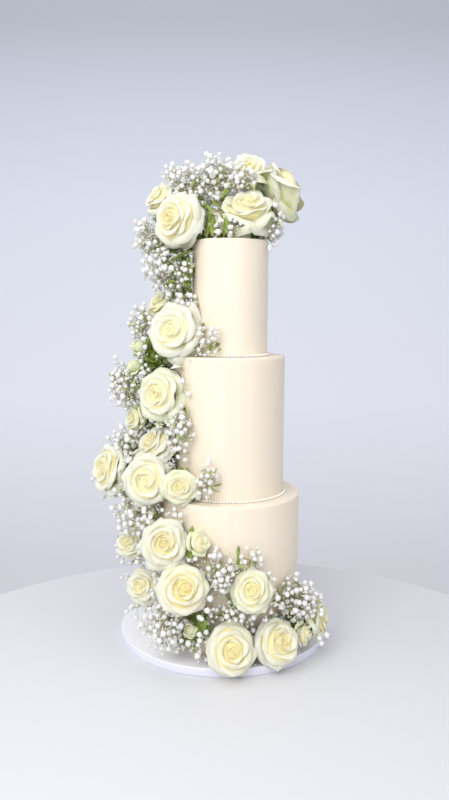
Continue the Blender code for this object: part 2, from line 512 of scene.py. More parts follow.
def drum_group(name):
    """A turned drum: a cylinder of many rings with a slight waver."""
    group = Group(name)
    make = group.nodes
    material = group.input("Material", "Material")
    cylinder = make.add(
        "GeometryNodeMeshCylinder",
        Vertices=group.input("Segments", "Int"),
        Side_Segments=group.input("Rings", "Int"),
        Radius=group.input("Radius", "Float"),
        Depth=group.input("Height", "Float"),
    )
    lift = make.add(
        "ShaderNodeCombineXYZ",
        X=group.input("Centre X", "Float"),
        Y=group.input("Centre Y", "Float"),
        Z=group.input("Centre Z", "Float"),
    )
    stood = make.add(
        "GeometryNodeTransform", Geometry=cylinder.outputs["Mesh"], Translation=lift.outputs[0]
    )
    place = make.add("GeometryNodeInputPosition").outputs[0]
    wide = make.vector("MULTIPLY", place, (1.0, 1.0, 0.35))
    wander = make.add("ShaderNodeTexNoise", Vector=wide, Scale=9.0, Detail=2.0)
    spread = make.math("SUBTRACT", wander.outputs[0], 0.5)
    amount = make.math("MULTIPLY", spread, group.input("Waver", "Float"))
    outward = make.vector("NORMALIZE", make.vector("MULTIPLY", place, (1.0, 1.0, 0.0)))
    scaled = make.add("ShaderNodeVectorMath", {"operation": "SCALE"})
    make.fill(scaled, 0, outward)
    make.fill(scaled, "Scale", amount)
    moved = make.add(
        "GeometryNodeSetPosition", Geometry=stood.outputs[0], Offset=scaled.outputs[0]
    )
    group.finish(moved.outputs[0], material)
    return group


def turned_drum(group, name, node, segments, rings, edge, waver, material):
    """One drum that fills a node's box, its edges rounded."""
    low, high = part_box(node)
    centre = (low + high) / 2
    piece = group.grow(
        name,
        empty_mesh(name),
        {
            "Segments": segments,
            "Rings": rings,
            "Radius": (high.x - low.x) / 2,
            "Height": high.z - low.z,
            "Centre X": centre.x,
            "Centre Y": centre.y,
            "Centre Z": centre.z,
            "Waver": waver,
            "Material": material,
        },
    )
    bevel = piece.modifiers.new("edge", "BEVEL")
    bevel.width = edge
    bevel.segments = 4
    bevel.limit_method = "ANGLE"
    bevel.angle_limit = math.radians(60)
    depsgraph = bpy.context.evaluated_depsgraph_get()
    mesh = bpy.data.meshes.new_from_object(piece.evaluated_get(depsgraph))
    piece.modifiers.remove(bevel)
    piece.data = mesh
    mesh.name = name
    smooth(mesh, 50)
    return piece


def icing_material(colour):
    """Hand-smoothed cream icing: satin, with faint upright streaks."""
    material, tree, base = shader("cream_icing")
    place = tree.add("ShaderNodeTexCoord").outputs["Object"]
    streak = noise(tree, stretched(tree, place, (70, 70, 1.6)), 1.0, 4.0)
    cloud = noise(tree, place, 14.0, 3.0)
    grain = noise(tree, place, 900.0, 2.0)
    warm = tuple(part * shade for part, shade in zip(colour, (1.0, 0.98, 0.94)))
    light = tuple(min(1.0, part * 1.03) for part in colour)
    tint = tree.ramp(streak, ((0.30, warm), (0.55, colour), (0.80, light)))
    cloudy = tree.mix(tree.math("MULTIPLY", cloud, 0.20), tint, warm)
    tree.fill(base, "Base Color", cloudy)
    relief = tree.math("ADD", tree.math("MULTIPLY", streak, 0.6), tree.math("MULTIPLY", grain, 0.08))
    tree.fill(base, "Normal", bump(tree, relief, 0.10, 0.001))
    rough = tree.math("MULTIPLY_ADD", cloud, 0.14, 0.40)
    tree.fill(base, "Roughness", rough)
    base.inputs["Subsurface Weight"].default_value = 0.25
    base.inputs["Subsurface Radius"].default_value = (1.0, 0.62, 0.35)
    base.inputs["Subsurface Scale"].default_value = 0.004
    base.inputs["Specular IOR Level"].default_value = 0.35
    return material


class CAKE_OT_tiers(bpy.types.Operator):
    """Ice the three tiers"""

    bl_idname = "cake.tiers"
    bl_label = "Ice Tiers"

    def execute(self, context):
        settings = context.scene.cake.icing
        material = icing_material(tuple(settings.colour))
        group = drum_group("iced_tier")
        for node in nodes_like("tier_"):
            name = node.replace("tier", "icing")
            piece = turned_drum(
                group, name, node, settings.segments, 40,
                settings.edge, settings.waver, material,
            )
            settle(piece, "icing", node)
        return {"FINISHED"}


def board_material(colour):
    """The board's satin covering, faintly crinkled, its upward faces painted lighter as painted light
    from above.
    """
    material, tree, base = shader("board_cover")
    place = tree.add("ShaderNodeTexCoord").outputs["Object"]
    crinkle = noise(tree, place, 240.0, 4.0, 0.6)
    cloud = noise(tree, place, 9.0, 2.0)
    pale = tuple(min(1.0, part * 1.05) for part in colour)
    painted_light_facing = tree.add("ShaderNodeSeparateXYZ", Vector=tree.add("ShaderNodeNewGeometry").outputs["Normal"])
    # Painted light: faces that point up take a lighter copy of the covering's colour, for the light that
    # falls on the board's top.
    top = tuple(min(1.0, part * k) for part, k in zip(colour, (1.22, 1.21, 1.11)))
    cover = tree.ramp(cloud, ((0.35, colour), (0.65, pale)))
    tree.fill(base, "Base Color", tree.mix(painted_light_facing.outputs["Z"], cover, top))
    tree.fill(base, "Roughness", tree.math("MULTIPLY_ADD", crinkle, 0.16, 0.22))
    tree.fill(base, "Normal", bump(tree, crinkle, 0.08, 0.0006))
    base.inputs["Specular IOR Level"].default_value = 0.5
    return material


class CAKE_OT_board(bpy.types.Operator):
    """Cover the cake board"""

    bl_idname = "cake.board"
    bl_label = "Cover Board"

    def execute(self, context):
        settings = context.scene.cake.board
        group = drum_group("covered_board")
        piece = turned_drum(
            group, "board_cover", "cake_board", settings.segments, 1,
            settings.edge, 0.0, board_material(tuple(settings.colour)),
        )
        settle(piece, "board_cover", "cake_board")
        return {"FINISHED"}


# ---------------------------------------------------------------- pearls


SINK = 0.0004


def pearl_group():
    """A ring of equal beads."""
    group = Group("pearl_ring")
    make = group.nodes
    material = group.input("Material", "Material")
    ring = make.add(
        "GeometryNodeMeshCircle",
        Vertices=group.input("Count", "Int"),
        Radius=group.input("Ring radius", "Float"),
    )
    bead = make.add(
        "GeometryNodeMeshUVSphere",
        Segments=10,
        Rings=7,
        Radius=group.input("Bead radius", "Float"),
    )
    soft = make.add("GeometryNodeSetShadeSmooth", Geometry=bead.outputs["Mesh"])
    lift = make.add("ShaderNodeCombineXYZ", Z=group.input("Height", "Float"))
    raised = make.add(
        "GeometryNodeTransform", Geometry=ring.outputs[0], Translation=lift.outputs[0]
    )
    beads = make.add(
        "GeometryNodeInstanceOnPoints", Points=raised.outputs[0], Instance=soft.outputs[0]
    )
    group.finish(beads.outputs[0], material)
    return group


def pearl_material(colour):
    """Sugar pearl: a soft white ball with a thin shine."""
    material, tree, base = shader("sugar_pearl")
    place = tree.add("ShaderNodeTexCoord").outputs["Object"]
    uneven = noise(tree, place, 300.0, 2.0)
    warm = tuple(part * 0.94 for part in colour)
    tree.fill(base, "Base Color", tree.ramp(uneven, ((0.35, warm), (0.65, colour))))
    tree.fill(base, "Roughness", tree.math("MULTIPLY_ADD", uneven, 0.2, 0.35))
    base.inputs["Coat Weight"].default_value = 0.15
    base.inputs["Coat Roughness"].default_value = 0.3
    base.inputs["Subsurface Weight"].default_value = 0.5
    base.inputs["Subsurface Scale"].default_value = 0.002
    return material


class CAKE_OT_pearls(bpy.types.Operator):
    """Ring the foot of each tier with pearls"""

    bl_idname = "cake.pearls"
    bl_label = "Set Pearls"

    def execute(self, context):
        settings = context.scene.cake.pearls
        material = pearl_material(tuple(settings.colour))
        group = pearl_group()
        for node in nodes_like("pearl_border_"):
            low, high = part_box(node)
            ring_radius = (high.x - low.x) / 2 - settings.bead * 1.2
            piece = group.grow(
                node.replace("border", "beads"),
                empty_mesh(node),
                {
                    "Count": round(math.tau * ring_radius / settings.pitch),
                    "Ring radius": ring_radius,
                    "Bead radius": settings.bead,
                    "Height": (low.z + high.z) / 2 - SINK,
                    "Material": material,
                },
            )
            settle(piece, "pearl", node)
        return {"FINISHED"}


# ---------------------------------------------------------------- roses

# How each form of rose is built. Lengths are in head radii. The neck, the flat
# heart and its radius are the frame's own; the rest describes the petals, from
# the outermost (age 0) to the innermost (age 1).
ROSE_FORMS = {
    "open": {
        "neck": -0.95,
        "heart": (0.16, 0.42),
        "petals": 23,
        "age": (0.00, 0.18, 0.30, 0.40, 0.50, 0.66, 0.82, 1.00),
        "reach": (1.06, 1.00, 0.88, 0.75, 0.58, 0.40, 0.21, 0.02),
        "rise": (-0.16, -0.04, 0.12, 0.22, 0.31, 0.37, 0.38, 0.34),
        "lean": (88, 72, 52, 40, 24, 12, -2, -14),
        "root_lean": (84, 80, 72, 66, 56, 42, 26, 12),
        "width": (1.70, 1.78, 1.76, 1.64, 1.40, 1.10, 0.74, 0.44),
        "roll": (0.32, 0.34, 0.32, 0.27, 0.20, 0.13, 0.07, 0.03),
    },
    "goblet": {
        "neck": -0.95,
        "heart": (0.16, 0.42),
        "petals": 19,
        "age": (0.00, 0.20, 0.36, 0.52, 0.75, 1.00),
        "reach": (0.98, 0.91, 0.76, 0.58, 0.31, 0.03),
        "rise": (0.12, 0.21, 0.33, 0.40, 0.43, 0.37),
        "lean": (42, 34, 26, 16, 2, -14),
        "root_lean": (76, 74, 66, 54, 34, 14),
        "width": (2.05, 1.95, 1.66, 1.36, 0.90, 0.50),
        "roll": (0.52, 0.42, 0.30, 0.18, 0.09, 0.03),
    },
    "half": {
        "neck": -1.10,
        "heart": (0.22, 0.44),
        "petals": 19,
        "age": (0.00, 0.18, 0.36, 0.50, 0.76, 1.00),
        "reach": (1.03, 0.94, 0.76, 0.56, 0.30, 0.03),
        "rise": (-0.02, 0.14, 0.32, 0.42, 0.45, 0.40),
        "lean": (64, 46, 32, 20, 4, -12),
        "root_lean": (80, 76, 66, 54, 34, 12),
        "width": (1.66, 1.72, 1.60, 1.36, 0.94, 0.50),
        "roll": (0.30, 0.30, 0.26, 0.18, 0.09, 0.03),
    },
    "bud": {
        "neck": -1.15,
        "heart": (0.26, 0.95),
        "petals": 12,
        "age": (0.00, 0.25, 0.60, 1.00),
        "reach": (0.66, 0.52, 0.34, 0.10),
        "rise": (0.62, 0.74, 0.88, 0.96),
        "lean": (6, -10, -20, -26),
        "root_lean": (62, 54, 40, 20),
        "width": (1.60, 1.50, 1.10, 0.60),
        "roll": (0.16, 0.10, 0.04, 0.02),
    },
}
ROOT_REACH = 0.10
ROOT_RISE = 0.16
PETAL_STEPS = 40
FULL_RADIUS = 0.025
CORE_DEPTH = 0.20
CORE_FILL = 0.15
CORE_REACH = 0.82
# Where the core dome sits on the petal colour ramps: in the gold, as painted shade for the deep gaps
# between petals.
CORE_PAINTED_SHADE_SPOT = 0.35
SEPALS = 5

# How gold each rose's heart is and how green its outer petals are, by number.
ROSE_GOLD = {1: 0.5, 7: 0.0, 8: 0.15, 11: 0.0, 12: 0.2, 13: 0.0, 16: 0.2,
             17: 0.3, 18: 0.5, 22: 1.0, 24: 0.6, 25: 0.8, 26: 0.6}
PLAIN_GOLD = 0.25
ROSE_LUSH = {2: 0.3, 3: 0.35, 4: 0.35, 5: 0.3, 7: 0.85, 9: 0.9, 10: 0.9, 11: 0.85, 12: 0.5, 13: 0.75,
             17: 0.6, 19: 0.9, 20: 0.5, 23: 0.8, 24: 0.45, 27: 0.7, 28: 0.4}
PLAIN_LUSH = 0.12
# Open roses whose guard petals still stand up round the cup.
GOBLETS = (4, 5, 8, 12, 15, 16)


def rose_place(node):
    """A rose's form, its head's frame and radius, and where its stem starts."""
    form = node.split("_")[1]
    share, height = ROSE_FORMS[form]["heart"]
    shape = node_shape(node)
    caps = sorted((f for f in shape.faces if len(f.verts) >= 8), key=lambda f: f.calc_area())
    if len(caps) != 2:
        raise RuntimeError(f"{node} has {len(caps)} flat ends and not 2")
    stem_end, heart = caps
    axis = heart.normal.copy()
    middle = heart.calc_center_median()
    radius = (heart.verts[0].co - middle).length / share
    centre = middle - axis * height * radius
    turn = axis.to_track_quat("Z", "Y").to_matrix().to_4x4()
    number = int(node.rsplit("_", 1)[1])
    if number in GOBLETS:
        form = "goblet"
    place = {
        "form": form,
        "number": number,
        "radius": radius,
        "centre": centre,
        "axis": axis,
        "frame": Matrix.Translation(centre) @ turn,
        "foot": stem_end.calc_center_median(),
        "inward": stem_end.normal.copy(),
    }
    shape.free()
    return place


def centreline(start, end, start_lean, end_lean, steps):
    """A cubic from the receptacle to the rim in the (reach, rise) plane."""
    a = np.array(start)
    d = np.array(end)
    span = np.linalg.norm(d - a)
    leave = np.array((math.sin(start_lean), math.cos(start_lean)))
    arrive = np.array((math.sin(end_lean), math.cos(end_lean)))
    b = a + leave * span * 0.42
    c = d - arrive * span * 0.40
    t = np.linspace(0, 1, steps)[:, None]
    s = 1 - t
    points = a * s**3 + b * 3 * s * s * t + c * 3 * s * t * t + d * t**3
    step = np.linalg.norm(np.diff(points, axis=0), axis=1)
    return points, np.concatenate(((0,), np.cumsum(step)))


def petal(form, age, phase, columns, rows, chance):
    """One petal's inner face in head radii: a grid of points, (rows, columns, 3)."""
    look = ROSE_FORMS[form]

    def at(key):
        return float(np.interp(age, look["age"], look[key]))

    loose = max(0.0, 1 - age / 0.30)
    reach = at("reach") * chance.uniform(0.96, 1.04) + loose * chance.uniform(-0.06, 0.16)
    rise = at("rise") + chance.uniform(-0.035, 0.035) - loose * chance.uniform(0.0, 0.10)
    lean = math.radians(at("lean") + chance.uniform(-6, 6))
    root_lean = math.radians(at("root_lean"))
    width = at("width") * chance.uniform(0.93, 1.07)
    roll = at("roll") * chance.uniform(0.75, 1.3)
    roll_radius = 0.055 + 0.35 * roll
    root = (ROOT_REACH, look["neck"] + ROOT_RISE)
    line, length = centreline(root, (reach, rise), root_lean, lean, PETAL_STEPS)
    full = length[-1]

    u = np.linspace(-1, 1, columns)[None, :]
    v = np.linspace(0, 1, rows)[:, None]
    v = 1 - (1 - v) ** 1.25
    shoulder = 0.20 + 0.10 * (1 - age)
    tip = (0.05 * (1 - age) + 0.06 * loose) * np.exp(-((u / 0.20) ** 2))
    top = full * (1 + tip - shoulder * np.abs(u) ** 2.4) + roll * 0.5
    y = v * top
    spread = 0.22 + 0.78 * np.sin(np.minimum(v / 0.72, 1.0) * math.pi / 2)
    x = u * spread * width / 2
    x = x * (1 - 0.10 * np.clip((v - 0.8) / 0.2, 0, 1) * np.abs(u))

    slant = math.radians(30 + 12 * loose) * (1 - 0.6 * age)
    soft = np.sqrt(x * x + 0.006)
    across = math.sin(slant) * x / soft
    fold = math.cos(slant) * (full + roll * 0.5) - roll * chance.uniform(0.9, 1.2)
    beyond = math.sin(slant) * (soft - 0.077) + math.cos(slant) * y - fold
    beyond = np.maximum(beyond, 0)
    ripple = 1 + 0.22 * np.sin(u * chance.uniform(3, 6) + chance.uniform(0, math.tau))
    bend = np.minimum(beyond / roll_radius * ripple, 2.9)
    slid = roll_radius * np.sin(bend) - beyond
    x = x + across * slid
    y = y + math.cos(slant) * slid
    lift = roll_radius * (1 - np.cos(bend))

    flare = 0.10 * (1 - age) ** 0.7 * np.clip((np.abs(u) - 0.55) / 0.45, 0, 1) ** 2
    lift = lift + flare * np.clip(v * 1.3, 0, 1) ** 2
    waves = np.sin(u * 7 + chance.uniform(0, math.tau)) + np.sin(u * 4 - v * 5 + phase)
    lift = lift + 0.010 * waves * v**3

    reach_line = np.interp(y, length, line[:, 0])
    rise_line = np.interp(y, length, line[:, 1])
    slope = np.gradient(line, length, axis=0)
    slope /= np.linalg.norm(slope, axis=1)[:, None]
    out_reach = np.interp(y, length, slope[:, 1])
    out_rise = -np.interp(y, length, slope[:, 0])
    extra = np.maximum(y - full, 0)
    reach_line = reach_line + extra * slope[-1, 0]
    rise_line = rise_line + extra * slope[-1, 1]

    spiral = (0.035 + 0.06 * age) * u * min(1.0, reach * 2)
    radial = reach_line + lift * out_reach + spiral * np.clip(v * 2, 0, 1) * 0.5
    height = rise_line + lift * out_rise
    wrap = np.maximum(reach_line, 0.08 + 0.20 * (1 - age))
    angle = phase + x / wrap
    return np.stack((radial * np.cos(angle), radial * np.sin(angle), height), axis=-1)


def sheet_normals(sheet):
    """Unit normals of a grid of points, towards the outer side of the petal."""
    down = np.gradient(sheet, axis=0)
    side = np.gradient(sheet, axis=1)
    normal = np.cross(side, down)
    size = np.linalg.norm(normal, axis=-1, keepdims=True)
    return normal / np.maximum(size, 1e-9)


def lens_petal(sheet, thickness):
    """A closed thin petal: the sheet and a second skin behind it, joined at the rim."""
    rows, columns, _ = sheet.shape
    front = np.arange(rows * columns).reshape(rows, columns)
    back = front.copy()
    inner = (rows - 2) * (columns - 2)
    back[1:-1, 1:-1] = rows * columns + np.arange(inner).reshape(rows - 2, columns - 2)
    behind = (sheet + sheet_normals(sheet) * thickness)[1:-1, 1:-1]
    points = np.concatenate((sheet.reshape(-1, 3), behind.reshape(-1, 3)))
    fronts = np.stack((front[:-1, :-1], front[1:, :-1], front[1:, 1:], front[:-1, 1:]), -1)
    backs = np.stack((back[:-1, :-1], back[:-1, 1:], back[1:, 1:], back[1:, :-1]), -1)
    faces = np.concatenate((fronts.reshape(-1, 4), backs.reshape(-1, 4)))
    u, v = np.meshgrid(np.linspace(0, 1, columns), np.linspace(0, 1, rows))
    spots = np.stack((u, v), -1)
    spots = np.concatenate((spots.reshape(-1, 2), spots[1:-1, 1:-1].reshape(-1, 2)))
    return points, faces, spots


def point_value(mesh, name, values):
    attribute = mesh.attributes.new(name, "FLOAT", "POINT")
    attribute.data.foreach_set("value", np.asarray(values, np.float32).ravel())


def point_vector(mesh, name, values):
    attribute = mesh.attributes.new(name, "FLOAT_VECTOR", "POINT")
    attribute.data.foreach_set("vector", np.asarray(values, np.float32).ravel())


def corner_uv(mesh, spots):
    """A UV map from one spot for each vertex."""
    corners = np.zeros(len(mesh.loops), np.int32)
    mesh.loops.foreach_get("vertex_index", corners)
    layer = mesh.uv_layers.new(name="petal")
    layer.data.foreach_set("uv", spots[corners].astype(np.float32).ravel())


def core_part(form, columns):
    """A dome just under the rims, which closes the deep gaps between petals."""
    look = ROSE_FORMS[form]
    reach = np.array(look["reach"][::-1]) * 0.92
    rise = np.array(look["rise"][::-1]) - CORE_DEPTH
    steps = np.linspace(0.0, CORE_REACH * reach[-1], 8)
    filled = CORE_FILL * np.exp(-((steps / 0.22) ** 2))
    top = [(float(r), float(np.interp(r, reach, rise) + f)) for r, f in zip(steps, filled)]
    profile = [(0.10, look["neck"] + ROOT_RISE)] + [(top[-1][0] * 0.8, -0.35)] + top[:0:-1]
    points, faces = [], []
    for share, height in profile:
        for side in range(columns):
            angle = math.tau * side / columns
            points.append((share * math.cos(angle), share * math.sin(angle), height))
    for ring in range(len(profile) - 1):
        for side in range(columns):
            a = ring * columns + side
            b = ring * columns + (side + 1) % columns
            faces.append((a, b, b + columns, a + columns))
    points.append((0, 0, top[0][1]))
    last = (len(profile) - 1) * columns
    for side in range(columns):
        faces.append((last + side, last + (side + 1) % columns, len(points) - 1))
    faces.append(tuple(reversed(range(columns))))
    return np.array(points), faces


def unsettle(points, chance):
    """Take the symmetry out of a head: an oval, a leaning heart, a slow wave."""
    oval = chance.uniform(-0.06, 0.06)
    lean = chance.uniform(0.02, 0.09)
    way = chance.uniform(0, math.tau)
    wave = chance.uniform(0.02, 0.07)
    x, y, z = points.T
    reach = np.hypot(x, y)
    turn = np.arctan2(y, x)
    middle = np.exp(-((reach / 0.5) ** 2)) * np.clip(z + 0.6, 0, 1)
    x = x * (1 + oval) + lean * math.cos(way) * middle
    y = y * (1 - oval) + lean * math.sin(way) * middle
    z = z + wave * np.sin(2 * turn + way) * reach**1.5
    return np.stack((x, y, z), axis=-1)


def rose_mesh(name, place, settings, seed):
    """All the petals of one rose as one mesh, in the frame's own coordinates."""
    chance = random.Random(seed)
    form = place["form"]
    fullness = min(1.0, max(0.66, place["radius"] / FULL_RADIUS))
    count = round(ROSE_FORMS[form]["petals"] * fullness) + chance.randint(-2, 2)
    start = chance.uniform(0, math.tau)
    points, faces, spots, ages, lots = [], [], [], [], []
    offset = 0
    for index in range(count):
        age = index / (count - 1)
        phase = start + index * GOLDEN_ANGLE + chance.uniform(-0.12, 0.12)
        sheet = petal(form, age, phase, settings.columns, settings.rows, chance)
        own, quads, uvs = lens_petal(sheet, settings.thickness / place["radius"])
        points.append(own)
        faces.extend((quads + offset).tolist())
        spots.append(uvs)
        ages.append(np.full(len(own), age))
        lots.append(np.full(len(own), chance.random()))
        offset += len(own)
    core, polygons = core_part(form, 24)
    points.append(core)
    faces.extend(tuple(corner + offset for corner in polygon) for polygon in polygons)
    # The dome takes the gold from deep in the cup and the heart's amber, as painted shade for the gaps it
    # closes.
    spots.append(np.full((len(core), 2), CORE_PAINTED_SHADE_SPOT))
    ages.append(np.full(len(core), 1.0))
    lots.append(np.zeros(len(core)))
    mesh = bpy.data.meshes.new(name)
    whole = unsettle(np.concatenate(points), chance) * place["radius"]
    mesh.from_pydata(whole, [], faces)
    number = int(name.rsplit("_", 1)[1])
    point_value(mesh, "gold", np.full(len(whole), ROSE_GOLD.get(number, PLAIN_GOLD)))
    point_value(mesh, "lush", np.full(len(whole), ROSE_LUSH.get(number, PLAIN_LUSH)))
    point_value(mesh, "age", np.concatenate(ages))
    point_value(mesh, "lot", np.concatenate(lots))
    corner_uv(mesh, np.concatenate(spots))
    mesh.transform(place["frame"])
    smooth(mesh, 70)
    return mesh


def petal_material(settings):
    """Rose petal: gold deep in the cup, partly the rose's own yellow and partly painted golden shade,
    cream at the rim, green on the outside.
    """
    material, tree, base = shader("rose_petal")
    spot = tree.add("ShaderNodeUVMap", {"uv_map": "petal"}).outputs[0]
    across = tree.add("ShaderNodeSeparateXYZ", Vector=spot)
    along = across.outputs["Y"]
    age = tree.attribute("age")
    lot = tree.attribute("lot")
    cream = tuple(settings.cream)
    gold = tuple(settings.gold)
    green = tuple(settings.green)
    pale = tuple(min(1.0, c * k) for c, k in zip(cream, (1.02, 1.03, 1.10)))
    lime = tuple(g * 0.6 + c * 0.4 for g, c in zip(green, cream))
    straw = tuple(g * 0.6 + c * 0.4 for g, c in zip(gold, cream))
    # The gold towards each petal's base is partly the rose's own yellow and partly painted shade,
    # deepened for the golden shade in the cup's crevices.
    guard = tree.ramp(along, ((0.0, lime), (0.35, lime), (0.62, cream), (1.0, pale)))
    milky = tree.ramp(along, ((0.0, straw), (0.40, straw), (0.70, cream), (1.0, pale)))
    ripe = tree.ramp(along, ((0.0, gold), (0.45, gold), (0.78, straw), (1.0, cream)))
    heart = tree.mix(tree.attribute("gold"), milky, ripe)
    warm = tree.mix(tree.math("MINIMUM", tree.math("MULTIPLY", age, 1.5), 1.0), guard, heart)
    # The innermost petals and the core dome take straw or amber all along: partly the heart's own yellow,
    # partly painted golden shade for the deep heart.
    centre = tree.math("MULTIPLY", tree.math("SUBTRACT", age, 0.62), 2.2)
    centre = tree.add("ShaderNodeClamp", Value=centre).outputs[0]
    amber_heart_shade = (gold[0], gold[1] * 0.95, gold[2] * 0.9)
    deep = tree.mix(tree.attribute("gold"), tuple(min(1.0, part * 1.05) for part in straw), amber_heart_shade)
    warm = tree.mix(centre, warm, deep)
    outer = tree.math("SUBTRACT", 1.15, age)
    outer = tree.math("MULTIPLY", tree.attribute("lush"), outer)
    patch = noise(tree, tree.add("ShaderNodeTexCoord").outputs["Object"], 60.0, 2.0)
    patch = tree.math("MULTIPLY", patch, tree.math("MULTIPLY_ADD", lot, 0.9, 0.9))
    tinted = tree.mix(tree.math("MULTIPLY", outer, patch), warm, green)
    veins = noise(tree, stretched(tree, spot, (46.0, 2.2, 1.0)), 1.0, 3.0)
    veined = tree.mix(tree.math("MULTIPLY", veins, 0.16), tinted, tree.mix(0.5, gold, green))
    tree.fill(base, "Base Color", veined)
    tree.fill(base, "Normal", bump(tree, veins, 0.12, 0.0006))
    tree.fill(base, "Roughness", tree.math("MULTIPLY_ADD", veins, 0.16, 0.44))
    base.inputs["Specular IOR Level"].default_value = 0.3
    base.inputs["Subsurface Weight"].default_value = 0.3
    base.inputs["Subsurface Radius"].default_value = (1.0, 0.88, 0.45)
    base.inputs["Subsurface Scale"].default_value = 0.0026
    base.inputs["Sheen Weight"].default_value = 0.12
    return material


class CAKE_OT_roses(bpy.types.Operator):
    """Open every rose of the cascade, petal by petal"""

    bl_idname = "cake.roses"
    bl_label = "Open Roses"

    def execute(self, context):
        settings = context.scene.cake.roses
        material = petal_material(settings)
        for index, node in enumerate(nodes_like("rose_")):
            name = f"petals_{node}"
            mesh = rose_mesh(name, rose_place(node), settings, 1000 + index)
            mesh.materials.append(material)
            piece = bpy.data.objects.new(name, mesh)
            context.scene.collection.objects.link(piece)
            settle(piece, "petals", node)
        return {"FINISHED"}


class CAKE_OT_rose_greens(bpy.types.Operator):
    """Grow the roses' stems, cups and sepals"""

    bl_idname = "cake.rose_greens"
    bl_label = "Grow Rose Stems"

    def execute(self, context):
        settings = context.scene.cake.foliage
        parts = []
        for index, node in enumerate(nodes_like("rose_")):
            place = rose_place(node)
            chance = random.Random(2000 + index)
            parts.append(stem_part(place))
            parts.append(cup_part(place))
            parts.extend(sepal_parts(place, chance))
        mesh = joined_mesh("rose_greens", parts)
        mesh.materials.append(green_material("sepal_green", tuple(settings.sepal), 0.75))
        piece = bpy.data.objects.new("rose_greens", mesh)
        context.scene.collection.objects.link(piece)
        settle(piece, "foliage")
        return {"FINISHED"}


STEM_RADIUS = 0.0026
STEM_HANDLE = 0.45
STEM_SIDES = 10
STEM_STEPS = 12
CUP_SECTIONS = ((0.06, -0.10), (0.12, -0.03), (0.19, 0.04), (0.20, 0.12), (0.12, 0.18), (0.04, 0.20))


def tube(path, radii, sides):
    """A closed tube of rings along a path: points, faces and UV spots."""
    across = Vector((1, 0, 0))
    points, faces, spots = [], [], []
    for index, centre in enumerate(path):
        before = path[max(index - 1, 0)]
        after = path[min(index + 1, len(path) - 1)]
        along = (after - before).normalized()
        across = across - along * across.dot(along)
        if across.length < 1e-3:
            across = along.orthogonal()
        across.normalize()
        other = along.cross(across)
        for side in range(sides):
            angle = math.tau * side / sides
            spoke = across * math.cos(angle) + other * math.sin(angle)
            points.append(centre + spoke * radii[index])
            spots.append((side / sides, index / (len(path) - 1)))
    for ring in range(len(path) - 1):
        for side in range(sides):
            a = ring * sides + side
            b = ring * sides + (side + 1) % sides
            faces.append((a, b, b + sides, a + sides))
    faces.append(tuple(reversed(range(sides))))
    last = (len(path) - 1) * sides
    faces.append(tuple(range(last, last + sides)))
    return points, faces, spots


def cubic(points, t):
    p0, p1, p2, p3 = points
    s = 1 - t
    return p0 * s**3 + p1 * 3 * s * s * t + p2 * 3 * s * t * t + p3 * t**3


def stem_part(place):
    """The stem, along the frame's own curve from the icing to the neck."""
    neck_rise = ROSE_FORMS[place["form"]]["neck"] * place["radius"]
    neck = place["centre"] + place["axis"] * neck_rise
    foot = place["foot"]
    handle = (foot - neck).length * STEM_HANDLE
    curve = (foot, foot - place["inward"] * handle, neck - place["axis"] * handle, neck)
    path = [cubic(curve, step / (STEM_STEPS - 1)) for step in range(STEM_STEPS)]
    return tube(path, [STEM_RADIUS] * STEM_STEPS, STEM_SIDES)


def cup_part(place):
    """The swollen green cup under the petals."""
    neck = ROSE_FORMS[place["form"]]["neck"]
    radius = place["radius"]
    path = [place["centre"] + place["axis"] * (neck + rise) * radius for _, rise in CUP_SECTIONS]
    radii = [max(share * radius, STEM_RADIUS if index == 0 else 0) for index, (share, _) in
             enumerate(CUP_SECTIONS)]
    return tube(path, radii, 14)


def sepal_parts(place, chance):
    """Five pointed sepals that spread or turn back from the cup."""
    neck = ROSE_FORMS[place["form"]]["neck"]
    start = chance.uniform(0, math.tau)
    hold = {"open": 0.0, "goblet": 0.1, "half": 0.35, "bud": 0.75}[place["form"]]
    parts = []
    for index in range(SEPALS):
        lean = math.radians(chance.uniform(80, 150) * (1 - hold) + 38 * hold)
        reach = chance.uniform(0.60, 0.85)
        root = (0.16, neck + 0.06)
        end = (root[0] + reach * math.sin(lean) * 0.9, root[1] + reach * math.cos(lean) * 0.9)
        line, length = centreline(root, end, math.radians(75 - 30 * hold), lean, 24)
        u = np.linspace(-1, 1, 5)[None, :]
        v = np.linspace(0, 1, 9)[:, None]
        half = 0.115 * np.sin(np.clip(v * 0.9 + 0.1, 0, 1) * math.pi) ** 0.8 * (1 - v * 0.35) + 0.004
        x = u * half
        y = v * length[-1]
        slope = np.gradient(line, length, axis=0)
        slope /= np.linalg.norm(slope, axis=1)[:, None]
        lift = 0.25 * half * (u**2)
        reach_line = np.interp(y, length, line[:, 0]) - lift * np.interp(y, length, slope[:, 1])
        rise_line = np.interp(y, length, line[:, 1]) + lift * np.interp(y, length, slope[:, 0])
        angle = start + index * math.tau / SEPALS + chance.uniform(-0.15, 0.15)
        spoke = np.array((math.cos(angle), math.sin(angle)))
        side = np.array((-spoke[1], spoke[0]))
        flat = reach_line[..., None] * spoke + x[..., None] * side
        sheet = np.concatenate((flat, rise_line[..., None]), axis=-1) * place["radius"]
        points, faces, spots = lens_petal(sheet, 0.0006)
        world = [place["frame"] @ Vector(point) for point in points]
        parts.append((world, [tuple(face) for face in faces.tolist()], spots.tolist()))
    return parts


def joined_mesh(name, parts):
    """One mesh from (points, faces, spots) parts, with a UV map."""
    points, faces, spots = [], [], []
    for own_points, own_faces, own_spots in parts:
        offset = len(points)
        points.extend(own_points)
        faces.extend(tuple(corner + offset for corner in face) for face in own_faces)
        spots.extend(own_spots)
    mesh = bpy.data.meshes.new(name)
    mesh.from_pydata(points, [], faces)
    corner_uv(mesh, np.array(spots))
    smooth(mesh, 60)
    return mesh


